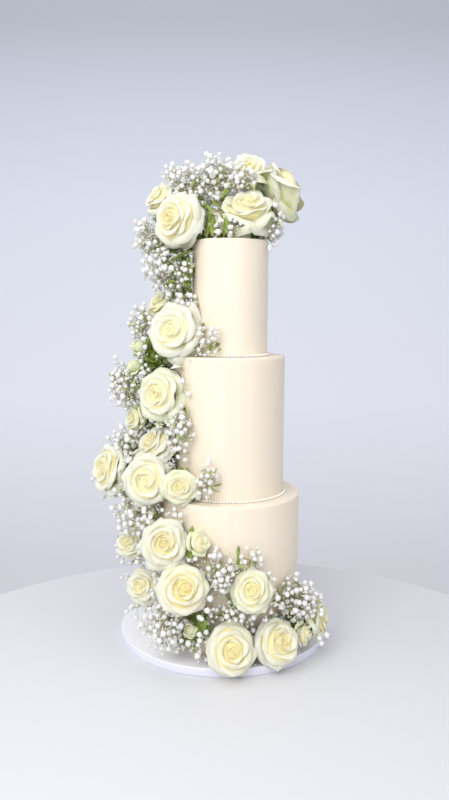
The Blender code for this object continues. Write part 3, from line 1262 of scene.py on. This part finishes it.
def green_material(name, colour, yellow):
    """Leaf green: veins along the blade, paler and yellower in patches."""
    material, tree, base = shader(name)
    spot = tree.add("ShaderNodeUVMap", {"uv_map": "petal"}).outputs[0]
    place = tree.add("ShaderNodeTexCoord").outputs["Object"]
    cloud = noise(tree, place, 55.0, 3.0)
    dark = tuple(part * 0.65 for part in colour)
    pale = (colour[0] * 1.45, colour[1] * 1.3, colour[2] * 1.4)
    patched = tree.ramp(cloud, ((0.30, dark), (0.50, colour), (0.75, pale)))
    veins = noise(tree, stretched(tree, spot, (24.0, 3.0, 1.0)), 1.0, 2.0)
    veined = tree.mix(tree.math("MULTIPLY", veins, 0.4 * yellow), patched, pale)
    tree.fill(base, "Base Color", veined)
    tree.fill(base, "Roughness", tree.math("MULTIPLY_ADD", veins, 0.2, 0.35))
    tree.fill(base, "Normal", bump(tree, veins, 0.2, 0.0008))
    base.inputs["Specular IOR Level"].default_value = 0.4
    return material


# ---------------------------------------------------------------- baby's breath

CLUSTER_FLORETS = (3, 6)
CLUSTER_BUDS = (2, 5)
STALK = (0.006, 0.016)
CLUSTER_DEPTH = (0.34, 0.86)
OVERHANG = 1.22
BACKING = 0.28
# Airy sprays and the sprays with the most leaves behind them, by number.
SPARSE = {10: 0.5, 12: 0.7, 14: 0.5, 16: 0.85}
LEAFY = {7: 2.6, 8: 2.2, 12: 1.6, 13: 1.6}
RIM_CLEAR = 0.024
RUFF_SPRIGS = 20
RUFF_REACH = (0.80, 1.20)
RUFF_DEPTH = (-1.3, -0.25)
RUFF_STEM = 0.06
# Roses with few sprigs round them, because the sprays stand beside them.
BARE_ROSES = {1: 0.5, 3: 0.2, 4: 0.4, 5: 0.15, 6: 0.3}
CROWN_LEAN = 0.5


def star_ring(shape, tips, radius, valley, height, sag, turn):
    """A ring of points that alternate between tips and valleys."""
    ring = []
    for index in range(tips * 2):
        angle = turn + math.pi * index / tips
        reach = radius if index % 2 == 0 else radius * valley
        lift = height if index % 2 == 0 else height - sag
        ring.append(shape.verts.new((reach * math.cos(angle), reach * math.sin(angle), lift)))
    return ring


def plain_ring(shape, count, radius, height):
    ring = []
    for index in range(count):
        angle = math.tau * index / count
        ring.append(shape.verts.new((radius * math.cos(angle), radius * math.sin(angle), height)))
    return ring


def bridge(shape, lower, upper):
    """Skin two rings whose counts divide each other."""
    ratio = len(upper) // len(lower)
    for index in range(len(upper)):
        after = (index + 1) % len(upper)
        a = lower[index // ratio]
        b = lower[(after // ratio) % len(lower)]
        corners = (a, b, upper[after], upper[index]) if a is not b else (a, upper[after], upper[index])
        shape.faces.new(corners)


def template(name, rings, green, top):
    """A small closed flower from rings of vertices, its greenness by ring."""
    shape, layers = rings
    for lower, upper in zip(layers, layers[1:]):
        bridge(shape, lower, upper)
    shape.faces.new(list(reversed(layers[0])))
    tuft = shape.verts.new((0, 0, top))
    last = layers[-1]
    for index in range(len(last)):
        shape.faces.new((last[index], last[(index + 1) % len(last)], tuft))
    tone = {}
    for layer, value in zip(layers, green):
        for vertex in layer:
            tone[vertex] = value
    tone[tuft] = green[-1]
    shape.verts.index_update()
    values = [tone[vertex] for vertex in shape.verts]
    bmesh.ops.recalc_face_normals(shape, faces=shape.faces)
    mesh = bpy.data.meshes.new(name)
    shape.to_mesh(mesh)
    shape.free()
    point_value(mesh, "green", values)
    mesh.shade_smooth()
    piece = bpy.data.objects.new(name, mesh)
    return piece


def floret_template():
    """An open double floret of radius 1, facing +Z."""
    shape = bmesh.new()
    layers = (
        plain_ring(shape, 5, 0.10, -0.95),
        plain_ring(shape, 5, 0.36, -0.45),
        star_ring(shape, 5, 1.00, 0.80, 0.10, 0.20, 0.0),
        star_ring(shape, 5, 0.80, 0.78, 0.55, 0.18, math.pi / 5),
        star_ring(shape, 5, 0.44, 0.64, 0.82, 0.16, 0.0),
    )
    return template("floret", (shape, layers), (0.9, 0.35, 0.0, 0.0, 0.0, 0.15), 0.66)


def bud_template():
    """A closed bud of radius 1, facing +Z."""
    shape = bmesh.new()
    layers = (
        plain_ring(shape, 5, 0.30, -1.2),
        plain_ring(shape, 5, 0.95, -0.3),
        plain_ring(shape, 5, 0.80, 0.7),
    )
    return template("bud", (shape, layers), (1.0, 0.75, 0.12, 0.0), 1.35)


def leaf_template():
    """A narrow blade of length 1 along +Z that bends towards +Y, half as wide."""
    u = np.linspace(-1, 1, 5)[None, :]
    v = np.linspace(0, 1, 8)[:, None]
    half = 0.5 * np.sin(np.clip(v * 0.94 + 0.05, 0, 1) * math.pi) ** 0.9 + 0.01
    x = u * half * np.ones_like(v)
    bow = 0.16 * np.sin(v * math.pi * 0.8) + 0.18 * half * np.abs(u)
    sheet = np.stack((x, bow, v * np.ones_like(u)), axis=-1)
    points, faces, spots = lens_petal(sheet, 0.02)
    mesh = joined_mesh("leaf", [(points.tolist(), faces.tolist(), spots.tolist())])
    return bpy.data.objects.new("leaf", mesh)


def scatter_group(name):
    """A template on every point, turned and stretched by the points' own values."""
    group = Group(name)
    make = group.nodes
    material = group.input("Material", "Material")
    kind = make.add(
        "GeometryNodeObjectInfo", Object=group.input("Template", "Object"), As_Instance=True
    )
    turn = make.add("FunctionNodeEulerToRotation", Euler=make.named("FLOAT_VECTOR", "turn"))
    placed = make.add(
        "GeometryNodeInstanceOnPoints",
        Points=group.source.outputs["Geometry"],
        Instance=kind.outputs["Geometry"],
        Rotation=turn.outputs[0],
        Scale=make.named("FLOAT_VECTOR", "stretch"),
    )
    group.finish(placed.outputs[0], material)
    return group


def twig_group():
    """A thin tube along every edge, as thick as the points say."""
    group = Group("twigs")
    make = group.nodes
    material = group.input("Material", "Material")
    curve = make.add("GeometryNodeMeshToCurve", Mesh=group.source.outputs["Geometry"])
    profile = make.add("GeometryNodeCurvePrimitiveCircle", Resolution=4, Radius=1.0)
    tubes = make.add(
        "GeometryNodeCurveToMesh",
        Curve=curve.outputs[0],
        Profile_Curve=profile.outputs[0],
        Scale=make.named("FLOAT", "thick"),
        Fill_Caps=True,
    )
    group.finish(tubes.outputs[0], material)
    return group


class Scatter:
    """Points to grow a template on."""

    def __init__(self):
        self.points = []
        self.turns = []
        self.stretches = []

    def add(self, point, direction, twist, stretch):
        """One copy whose +Z faces direction, turned about it by twist."""
        turn = direction.to_track_quat("Z", "Y").to_matrix() @ Matrix.Rotation(twist, 3, "Z")
        self.points.append(point)
        self.turns.append(tuple(turn.to_euler()))
        self.stretches.append(stretch)

    def mesh(self, name):
        mesh = bpy.data.meshes.new(name)
        mesh.from_pydata(self.points, [], [])
        point_vector(mesh, "turn", self.turns)
        point_vector(mesh, "stretch", self.stretches)
        return mesh


class Twigs:
    """A branching skeleton of short edges."""

    def __init__(self):
        self.points = []
        self.edges = []
        self.thick = []

    def run(self, path, start, end):
        """A branch along a path, tapering from one radius to another."""
        first = len(self.points)
        self.points.extend(path)
        share = [index / (len(path) - 1) for index in range(len(path))]
        self.thick.extend(start + (end - start) * s for s in share)
        self.edges.extend((first + i, first + i + 1) for i in range(len(path) - 1))

    def mesh(self, name):
        mesh = bpy.data.meshes.new(name)
        mesh.from_pydata(self.points, self.edges, [])
        point_value(mesh, "thick", self.thick)
        return mesh


class Clearance:
    """Says whether a small ball fits between the tiers, the board and the roses."""

    def __init__(self):
        self.drums = [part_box(node) for node in nodes_like("tier_")]
        self.drums.append(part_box("cake_board"))
        self.roses = [rose_place(node) for node in nodes_like("rose_")]
        self.inverse = [place["frame"].inverted() for place in self.roses]
        self.taken = {}

    def solid(self, point, radius):
        if point.z < radius + 0.001:
            return True
        board_low, board_high = self.drums[-1]
        rim = (board_high.x - board_low.x) / 2 - radius
        middle = (board_low + board_high) / 2
        if point.z < RIM_CLEAR and math.hypot(point.x - middle.x, point.y - middle.y) > rim:
            return True
        for low, high in self.drums:
            centre = (low + high) / 2
            reach = math.hypot(point.x - centre.x, point.y - centre.y)
            inside = reach < (high.x - low.x) / 2 + radius
            if inside and low.z - radius < point.z < high.z + radius:
                return True
        for place, inverse in zip(self.roses, self.inverse):
            own = inverse @ point / place["radius"]
            margin = radius / place["radius"]
            width = {"open": 0.98, "goblet": 0.96, "half": 0.95, "bud": 0.85}[place["form"]] + margin
            depth = {"open": 0.42, "goblet": 0.50, "half": 0.50, "bud": 0.95}[place["form"]] + margin
            low = ROSE_FORMS[place["form"]]["neck"]
            if low < own.z < depth:
                taper = min(1.0, 0.25 + (own.z - low) / 0.55)
                if math.hypot(own.x, own.y) < width * taper:
                    return True
        return False

    def claim(self, point, radius):
        """True if no earlier ball is too near; then this one is remembered."""
        cell = tuple(int(math.floor(part / 0.01)) for part in point)
        for dx in (-1, 0, 1):
            for dy in (-1, 0, 1):
                for dz in (-1, 0, 1):
                    for other, size in self.taken.get((cell[0] + dx, cell[1] + dy, cell[2] + dz), ()):
                        if (other - point).length < (size + radius) * 0.80:
                            return False
        self.taken.setdefault(cell, []).append((point, radius))
        return True


def sphere_directions(count, chance):
    """Evenly spread directions, turned by chance."""
    turn = Matrix.Rotation(chance.uniform(0, math.tau), 3, "Z")
    tilt = Matrix.Rotation(chance.uniform(0, math.pi), 3, "X")
    directions = []
    for index in range(count):
        height = 1 - 2 * (index + 0.5) / count
        reach = math.sqrt(1 - height * height)
        angle = index * GOLDEN_ANGLE
        flat = Vector((reach * math.cos(angle), reach * math.sin(angle), height))
        directions.append(tilt @ (turn @ flat))
    return directions


def random_direction(chance):
    height = chance.uniform(-1, 1)
    angle = chance.uniform(0, math.tau)
    reach = math.sqrt(1 - height * height)
    return Vector((reach * math.cos(angle), reach * math.sin(angle), height))


class Spray:
    """One spray's room: its middle, its surface and where its branches start."""

    def __init__(self, node, summit):
        self.number = int(node.rsplit("_", 1)[1])
        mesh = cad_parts[node].data
        points = [vertex.co.copy() for vertex in mesh.vertices]
        faces = [tuple(polygon.vertices) for polygon in mesh.polygons]
        low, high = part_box(node)
        self.centre = (low + high) / 2
        self.area = sum(polygon.area for polygon in mesh.polygons)
        self.tree = BVHTree.FromPolygons(points, faces)
        outward = Vector((self.centre.x, self.centre.y, 0)).normalized()
        inward = -outward
        if self.centre.z > summit:
            inward = (-outward * CROWN_LEAN - UP).normalized()
        self.inward = inward
        self.root = self.centre + inward * self.reach(inward) * 0.92
        self.plant = planting_place(self.root, summit)

    def reach(self, direction):
        """The distance from the middle to the surface along a direction."""
        hit, _, _, distance = self.tree.ray_cast(self.centre, direction)
        return distance if hit is not None else 0.01


def planting_place(point, summit):
    """The nearest icing a stem at point can be pushed into."""
    if point.z > summit:
        flat = Vector((point.x, point.y, 0))
        radius = (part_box("tier_top")[1].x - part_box("tier_top")[0].x) / 2
        flat = flat * min(1.0, 0.7 * radius / max(flat.length, 1e-6))
        return Vector((flat.x, flat.y, summit))
    outward = Vector((point.x, point.y, 0)).normalized()
    for node in ("tier_bottom", "tier_middle", "tier_top"):
        low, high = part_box(node)
        if point.z <= high.z:
            place = outward * (high.x - low.x) / 2
            return Vector((place.x, place.y, max(point.z - 0.01, low.z + 0.004)))
    raise RuntimeError("a stem is above every tier")


def arch(start, end, lift, steps):
    """A path from start to end that bows by lift."""
    path = []
    for index in range(steps):
        t = index / (steps - 1)
        path.append(start.lerp(end, t) + lift * 4 * t * (1 - t))
    return path


def backing_spots(spray, count, summit, chance):
    """Pairs of a place on the icing and a place between it and the spray."""
    spots = []
    for _ in range(count):
        direction = random_direction(chance)
        rim = spray.centre + direction * spray.reach(direction) * 0.9
        plant = planting_place(rim, summit)
        spots.append((plant, plant.lerp(rim, chance.uniform(0.10, 0.85))))
    return spots


def grow_backing(spray, settings, clearance, scatters, twigs, summit, chance):
    """Sprigs that close the gap between a spray and the cake."""
    count = round(spray.area / settings.spacing**2 * BACKING * SPARSE.get(spray.number, 1.0))
    for plant, joint in backing_spots(spray, count, summit, chance):
        if clearance.solid(joint, 0.002):
            continue
        bow = random_direction(chance) * 0.003
        twigs.run(arch(plant, joint, bow, 4), settings.twig, settings.twig * 0.7)
        outward = (joint - plant).normalized()
        grow_sprig(joint, outward, settings, clearance, scatters, twigs, chance)


def grow_spray(spray, settings, clearance, scatters, twigs, chance):
    """Clusters of florets and buds on stalks, joined to the root by branches."""
    florets, buds = scatters
    count = max(7, round(spray.area / settings.spacing**2 * SPARSE.get(spray.number, 1.0)))
    joints = [(spray.root, 0.0)]
    bow = random_direction(chance) * (spray.root - spray.plant).length * 0.08
    twigs.run(arch(spray.plant, spray.root, bow, 6), settings.twig * 2.0, settings.twig * 1.4)
    for direction in sphere_directions(count, chance):
        if direction.dot(spray.inward) > 0.94:
            continue
        limit = spray.reach(direction)
        joint = spray.centre + direction * limit * chance.uniform(*CLUSTER_DEPTH)
        if clearance.solid(joint, 0.001):
            continue
        depth = (joint - spray.root).length
        nearer = [place for place, far in joints if far < depth * 0.8]
        parent = min(nearer, key=lambda place: (place - joint).length)
        bow = random_direction(chance) * (joint - parent).length * 0.10
        twigs.run(arch(parent, joint, bow, 4), settings.twig, settings.twig * 0.7)
        joints.append((joint, depth))
        kinds = [florets] * chance.randint(*CLUSTER_FLORETS) + [buds] * chance.randint(*CLUSTER_BUDS)
        for kind in kinds:
            open_floret = kind is florets
            size = settings.floret if open_floret else settings.bud
            size *= chance.uniform(0.72, 1.22)
            aim_to = (direction * 0.9 + random_direction(chance)).normalized()
            stalk = chance.uniform(*STALK) * (1.0 if open_floret else 0.9)
            tip = joint + aim_to * stalk
            away = tip - spray.centre
            allowed = spray.reach(away.normalized()) * OVERHANG + 0.002
            if away.length > allowed:
                tip = spray.centre + away.normalized() * allowed
            if clearance.solid(tip, size * 0.9) or not clearance.claim(tip, size):
                continue
            face = (aim_to + direction * 0.5 - spray.inward * 0.3).normalized()
            kind.add(tip, face, chance.uniform(0, math.tau), (size,) * 3)
            bow = random_direction(chance) * stalk * 0.10
            base = tip - face * size * 0.9
            twigs.run(arch(joint, base, bow, 3), settings.twig * 0.65, settings.twig * 0.5)


def floret_material(settings):
    """White florets: grey-green at the cup, soft white over the petals."""
    material, tree, base = shader("floret_white")
    green = tree.attribute("green")
    place = tree.add("ShaderNodeTexCoord").outputs["Object"]
    mottle = noise(tree, place, 700.0, 2.0)
    white = tuple(settings.white)
    shade = tuple(part * 0.95 for part in white)
    cup = tuple(settings.twig_colour)
    heart = tuple(w * 0.55 + c * 0.45 for w, c in zip(white, cup))
    petal_white = tree.ramp(mottle, ((0.35, shade), (0.6, white)))
    cup_tint = tree.ramp(green, ((0.0, white), (0.5, heart), (0.9, cup)))
    tree.fill(base, "Base Color", tree.mix(green, petal_white, cup_tint))
    tree.fill(base, "Normal", bump(tree, mottle, 0.4, 0.0006))
    tree.fill(base, "Roughness", tree.math("MULTIPLY_ADD", mottle, 0.2, 0.55))
    base.inputs["Specular IOR Level"].default_value = 0.25
    base.inputs["Subsurface Weight"].default_value = 0.7
    base.inputs["Subsurface Radius"].default_value = (1.0, 1.0, 0.9)
    base.inputs["Subsurface Scale"].default_value = 0.004
    return material


def twig_material(settings):
    material, tree, base = shader("twig_green")
    place = tree.add("ShaderNodeTexCoord").outputs["Object"]
    cloud = noise(tree, place, 120.0, 2.0)
    green = tuple(settings.twig_colour)
    brown = (green[0] * 0.9, green[1] * 0.62, green[2] * 0.8)
    tree.fill(base, "Base Color", tree.ramp(cloud, ((0.35, brown), (0.6, green))))
    tree.fill(base, "Roughness", tree.math("MULTIPLY_ADD", cloud, 0.2, 0.45))
    return material


def grow_scatter(group, name, scatter, kind, material, slot, *nodes):
    piece = group.grow(name, scatter.mesh(name), {"Template": kind, "Material": material})
    settle(piece, slot, *nodes)
    return piece


def grow_sprig(joint, outward, settings, clearance, scatters, twigs, chance):
    """A small cluster on its own twig, in a gap beside a rose."""
    florets, buds = scatters
    kinds = [florets] * chance.randint(3, 6) + [buds] * chance.randint(1, 4)
    for kind in kinds:
        open_floret = kind is florets
        size = settings.floret if open_floret else settings.bud
        size *= chance.uniform(0.72, 1.22)
        aim_to = (outward * 0.8 + random_direction(chance)).normalized()
        tip = joint + aim_to * chance.uniform(*STALK)
        if clearance.solid(tip, size * 0.9) or not clearance.claim(tip, size):
            continue
        face = (aim_to + outward * 0.6).normalized()
        kind.add(tip, face, chance.uniform(0, math.tau), (size,) * 3)
        bow = random_direction(chance) * 0.001
        twigs.run(arch(joint, tip - face * size * 0.9, bow, 3), settings.twig * 0.65, settings.twig * 0.5)


def grow_ruffs(settings, clearance, scatters, twigs, summit, chance):
    """Sprigs that fill the gaps round every rose's head."""
    for place in clearance.roses:
        share = BARE_ROSES.get(place["number"], 1.0)
        count = round(RUFF_SPRIGS * share * place["radius"] / 0.036)
        start = chance.uniform(0, math.tau)
        for index in range(count):
            angle = start + math.tau * index / count + chance.uniform(-0.2, 0.2)
            reach = chance.uniform(*RUFF_REACH) * place["radius"]
            depth = chance.uniform(*RUFF_DEPTH) * place["radius"]
            own = Vector((reach * math.cos(angle), reach * math.sin(angle), depth))
            joint = place["frame"] @ own
            inside = any(
                low.x < joint.x < high.x and low.y < joint.y < high.y and low.z < joint.z < high.z
                for low, high in (CAD_BOX,)
            )
            if not inside or clearance.solid(joint, 0.002):
                continue
            outward = Vector((joint.x, joint.y, 0)).normalized()
            start_point = planting_place(joint, summit)
            if (start_point - joint).length > RUFF_STEM:
                start_point = place["centre"] - place["axis"] * 0.8 * place["radius"]
            bow = random_direction(chance) * 0.003
            twigs.run(arch(start_point, joint, bow, 5), settings.twig * 1.2, settings.twig * 0.8)
            grow_sprig(joint, outward, settings, clearance, scatters, twigs, chance)


class CAKE_OT_breath(bpy.types.Operator):
    """Grow the sprays of baby's breath"""

    bl_idname = "cake.breath"
    bl_label = "Grow Baby's Breath"

    def execute(self, context):
        settings = context.scene.cake.breath
        clearance = Clearance()
        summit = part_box("tier_top")[1].z
        florets, buds, twigs = Scatter(), Scatter(), Twigs()
        nodes = nodes_like("babys_breath_")
        for index, node in enumerate(nodes):
            spray = Spray(node, summit)
            chance = random.Random(3000 + index)
            grow_spray(spray, settings, clearance, (florets, buds), twigs, chance)
            grow_backing(spray, settings, clearance, (florets, buds), twigs, summit, chance)
        grow_ruffs(settings, clearance, (florets, buds), twigs, summit, random.Random(3500))
        white = floret_material(settings)
        group = scatter_group("floret_scatter")
        grow_scatter(
            group, "spray_florets", florets, floret_template(), white, "florets", *nodes
        )
        grow_scatter(group, "spray_buds", buds, bud_template(), white, "florets")
        twig_tree = twig_group()
        piece = twig_tree.grow(
            "spray_twigs", twigs.mesh("spray_twigs"), {"Material": twig_material(settings)}
        )
        settle(piece, "foliage")
        return {"FINISHED"}


# ---------------------------------------------------------------- leaves

CROWN_BLADES = 24
CROWN_BLADE = (0.022, 0.046)
SPRAY_LEAF = (0.010, 0.022)
ROSE_LEAF = (0.016, 0.030)
LEAF_SLIM = (0.22, 0.42)
BACKED_ROSES = (1, 2, 7, 8, 9, 10, 11, 12, 13, 14, 15, 16)
BEHIND_LEAVES = 60


def leaf_place(node):
    """Where one of the frame's leaves starts, where it ends, and its width."""
    points = np.array([vertex.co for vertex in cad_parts[node].data.vertices])
    middle = points.mean(axis=0)
    along = np.linalg.svd(points - middle, full_matrices=False)[2][0]
    reach = (points - middle) @ along
    low_end = points[reach < reach.min() + 0.0005]
    high_end = points[reach > reach.max() - 0.0005]
    if np.ptp(low_end, axis=0).max() < np.ptp(high_end, axis=0).max():
        low_end, high_end = high_end, low_end
    start = Vector(low_end.mean(axis=0))
    end = Vector(high_end.mean(axis=0))
    flat = points - middle - np.outer(reach, along)
    width = 2 * np.linalg.norm(flat, axis=1).max()
    return start, end, float(width)


def grow_behind(place, clearance, leaves, chance):
    """Leaves in the space behind a rose's head."""
    for _ in range(BEHIND_LEAVES):
        angle = chance.uniform(0, math.tau)
        reach = chance.uniform(0.2, 1.2)
        depth = chance.uniform(-1.7, -0.35)
        own = Vector((reach * math.cos(angle), reach * math.sin(angle), depth)) * place["radius"]
        start = place["frame"] @ own
        grow = (random_direction(chance) - place["axis"] * 0.3).normalized()
        length = chance.uniform(*SPRAY_LEAF)
        if any(clearance.solid(start + grow * length * part, 0.001) for part in (0.0, 0.5, 1.0)):
            continue
        wide = length * chance.uniform(*LEAF_SLIM)
        leaves.add(start, grow, chance.uniform(0, math.tau), (wide, length, length))


class CAKE_OT_leaves(bpy.types.Operator):
    """Set the leaves among the flowers"""

    bl_idname = "cake.leaves"
    bl_label = "Set Leaves"

    def execute(self, context):
        settings = context.scene.cake.foliage
        clearance = Clearance()
        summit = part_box("tier_top")[1].z
        chance = random.Random(4000)
        blades, deep, fill = Scatter(), Scatter(), Scatter()
        nodes = nodes_like("leaf_")
        for node in nodes:
            start, end, width = leaf_place(node)
            along = end - start
            blades.add(start, along.normalized(), 0.0, (width, along.length, along.length))
        for node in nodes_like("babys_breath_"):
            spray = Spray(node, summit)
            share = SPARSE.get(spray.number, 1.0)
            count = max(4, round(spray.area / settings.spacing**2 * 0.7 * share * share))
            for direction in sphere_directions(count, chance):
                if direction.dot(spray.inward) < -0.2 and chance.random() < 0.6:
                    continue
                length = chance.uniform(*SPRAY_LEAF)
                limit = spray.reach(direction)
                middle = spray.centre + direction * limit * chance.uniform(0.15, 0.8)
                start = spray.root.lerp(middle, chance.uniform(0.45, 1.0))
                grow = (direction + random_direction(chance) * 0.7).normalized()
                if clearance.solid(start, 0.002) or clearance.solid(start + grow * length, 0.002):
                    continue
                wide = length * chance.uniform(*LEAF_SLIM)
                fill.add(start, grow, chance.uniform(0, math.tau), (wide, length, length))
            behind = round(count * 0.8 * LEAFY.get(spray.number, 1.0))
            for plant, spot in backing_spots(spray, behind, summit, chance):
                length = chance.uniform(*SPRAY_LEAF)
                grow = ((spot - plant).normalized() * 0.6 + random_direction(chance)).normalized()
                tip = spot + grow * length
                if clearance.solid(spot, 0.001) or clearance.solid(tip, 0.001):
                    continue
                if (tip - plant).length > (spray.centre - plant).length:
                    continue
                wide = length * chance.uniform(*LEAF_SLIM)
                deep.add(spot, grow, chance.uniform(0, math.tau), (wide, length, length))
        for place in clearance.roses:
            neck = place["centre"] + place["axis"] * ROSE_FORMS[place["form"]]["neck"] * place["radius"]
            if place["number"] in BACKED_ROSES:
                grow_behind(place, clearance, deep, chance)
            for _ in range(round(26 * BARE_ROSES.get(place["number"], 1.0))):
                length = chance.uniform(*ROSE_LEAF)
                start = place["foot"].lerp(neck, chance.uniform(0.10, 1.0))
                side = random_direction(chance)
                grow = (side - place["axis"] * side.dot(place["axis"]) + place["axis"] * 0.2).normalized()
                tip = start + grow * length
                if clearance.solid(tip, 0.002) or tip.z < 0.014:
                    continue
                wide = length * chance.uniform(*LEAF_SLIM)
                deep.add(start, grow, chance.uniform(0, math.tau), (wide, length, length))
        low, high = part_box("tier_top")
        for _ in range(CROWN_BLADES):
            reach = math.sqrt(chance.uniform(0.02, 0.80)) * (high.x - low.x) / 2
            angle = chance.uniform(0, math.tau)
            outward = Vector((math.cos(angle), math.sin(angle), 0))
            start = outward * reach + UP * (summit + 0.0015)
            grow = (UP + outward * 0.35 + random_direction(chance) * 0.4).normalized()
            length = chance.uniform(*CROWN_BLADE)
            if any(clearance.solid(start + grow * length * part, 0.001) for part in (0.3, 0.6, 1.0)):
                continue
            wide = length * chance.uniform(*LEAF_SLIM) * 0.6
            deep.add(start, grow, chance.uniform(0, math.tau), (wide, length, length))
        # Painted light and shade: leaves near the cake use the darker green, and leaves inside the sprays
        # use the lighter copy.
        green = green_material("leaf_green", tuple(settings.leaf), 0.3)
        pale = green_material("painted_lit_leaf_green", tuple(settings.young_leaf), 0.3)
        group = scatter_group("leaf_scatter")
        blade = leaf_template()
        grow_scatter(group, "tall_leaves", blades, blade, green, "foliage", *nodes)
        grow_scatter(group, "deep_leaves", deep, blade, green, "foliage")
        grow_scatter(group, "fill_leaves", fill, blade, pale, "foliage")
        return {"FINISHED"}


# ---------------------------------------------------------------- stage


TABLE_RADIUS = 0.50
TABLE_Y = -0.18
TABLE_DEPTH = 0.02
WALL_Y = 2.0
# Painted light: the backdrop's own glow by height, for the way the studio light falls off up the wall.
WALL_GLOW = (
    (0.00, (0.19, 0.18, 0.18)),
    (0.12, (0.23, 0.225, 0.23)),
    (0.30, (0.275, 0.285, 0.30)),
    (0.48, (0.24, 0.255, 0.28)),
    (0.65, (0.21, 0.225, 0.26)),
    (0.83, (0.12, 0.13, 0.16)),
    (0.95, (0.01, 0.02, 0.03)),
)


def aim(place, target):
    return (target - place).to_track_quat("-Z", "Y").to_euler()


def add_light(name, place, target, size, power, colour=(1.0, 1.0, 1.0)):
    data = bpy.data.lights.new(name, "AREA")
    data.shape = "RECTANGLE"
    data.size, data.size_y = size
    data.energy = power
    data.color = colour
    light = bpy.data.objects.new(name, data)
    light.location = place
    light.rotation_euler = aim(Vector(place), Vector(target))
    bpy.context.scene.collection.objects.link(light)
    return light


def plain_material(name, colour, roughness):
    material, tree, base = shader(name)
    base.inputs["Base Color"].default_value = (*colour, 1.0)
    base.inputs["Roughness"].default_value = roughness
    return material


def backdrop_material(colour):
    """A plain wall with a painted glow, brightest low down, that fades towards the top."""
    material, tree, base = shader("backdrop")
    place = tree.add("ShaderNodeTexCoord").outputs["Object"]
    height = tree.add("ShaderNodeSeparateXYZ", Vector=place).outputs["Z"]
    share = tree.math("DIVIDE", tree.math("ADD", height, 0.6), 2.3)
    base.inputs["Base Color"].default_value = (*colour, 1.0)
    base.inputs["Roughness"].default_value = 0.9
    tree.fill(base, "Emission Color", tree.ramp(share, WALL_GLOW))
    base.inputs["Emission Strength"].default_value = 1.0
    return material


class CAKE_OT_studio(bpy.types.Operator):
    """Set the table, the backdrop, the lights and the camera"""

    bl_idname = "cake.studio"
    bl_label = "Set Studio"

    def execute(self, context):
        settings = context.scene.cake.studio
        scene = context.scene
        scene.view_settings.view_transform = "Standard"
        bpy.ops.mesh.primitive_cylinder_add(vertices=256, radius=TABLE_RADIUS, depth=TABLE_DEPTH)
        floor = context.object
        floor.name = "floor"
        floor.data.transform(Matrix.Translation((0, TABLE_Y, -TABLE_DEPTH / 2)))
        floor.data.materials.append(plain_material("floor", settings.floor, 0.6))
        bpy.ops.mesh.primitive_plane_add(size=1)
        wall = context.object
        wall.name = "backdrop"
        lift = Matrix.Translation((0, WALL_Y, 0.5)) @ Matrix.Rotation(math.radians(90), 4, "X")
        wall.data.transform(lift @ Matrix.Diagonal((12.0, 8.0, 1.0, 1.0)))
        wall.data.materials.append(backdrop_material(settings.wall))

        add_light("key", (-0.62, -1.45, 1.25), (0, 0, 0.42), (1.3, 1.3), 22)
        add_light("fill", (1.3, -1.4, 0.7), (0, 0, 0.35), (1.0, 1.0), 4.5)
        add_light("top", (-0.2, -0.3, 2.0), (0, 0, 0.0), (1.6, 1.6), 9)
        add_light("side", (-1.7, -0.45, 0.75), (-0.05, 0, 0.38), (1.2, 1.4), 3.5)

        world = bpy.data.worlds.new("studio")
        scene.world = world
        world.use_nodes = True
        background = world.node_tree.nodes["Background"]
        background.inputs["Color"].default_value = (0.93, 0.95, 1.0, 1.0)
        background.inputs["Strength"].default_value = 0.52

        data = bpy.data.cameras.new("camera")
        data.lens = settings.camera_lens
        data.clip_start = 0.05
        data.clip_end = 50
        camera = bpy.data.objects.new("camera", data)
        scene.collection.objects.link(camera)
        pitch = Matrix.Rotation(math.radians(90) - settings.camera_pitch, 4, "X")
        roll = Matrix.Rotation(settings.camera_roll, 4, "Z")
        camera.matrix_world = Matrix.Translation(settings.camera_place) @ pitch @ roll
        scene.camera = camera
        return {"FINISHED"}


# ---------------------------------------------------------------- panel and main


class CAKE_PT_panel(bpy.types.Panel):
    bl_label = "Tiered Wedding Cake"
    bl_idname = "CAKE_PT_panel"
    bl_space_type = "VIEW_3D"
    bl_region_type = "UI"
    bl_category = "Cake"

    def draw(self, context):
        for group in CakeSettings.__annotations__:
            box = self.layout.box()
            box.label(text=group.capitalize())
            settings = getattr(context.scene.cake, group)
            for value in type(settings).__annotations__:
                box.prop(settings, value)
        for operator in OPERATORS:
            self.layout.operator(operator.bl_idname)


OPERATORS = (
    CAKE_OT_board,
    CAKE_OT_tiers,
    CAKE_OT_pearls,
    CAKE_OT_roses,
    CAKE_OT_rose_greens,
    CAKE_OT_breath,
    CAKE_OT_leaves,
    CAKE_OT_studio,
)
SETTINGS = (
    IcingSettings,
    PearlSettings,
    BoardSettings,
    RoseSettings,
    BreathSettings,
    FoliageSettings,
    StudioSettings,
    CakeSettings,
)
CLASSES = (*SETTINGS, *OPERATORS, CAKE_PT_panel)


def register():
    for cls in CLASSES:
        bpy.utils.register_class(cls)
    bpy.types.Scene.cake = PointerProperty(type=CakeSettings)


def unregister():
    del bpy.types.Scene.cake
    for cls in reversed(CLASSES):
        bpy.utils.unregister_class(cls)


def main():
    register()
    for operator in OPERATORS:
        category, action = operator.bl_idname.split(".")
        getattr(getattr(bpy.ops, category), action)()


if __name__ == "__main__":
    main()
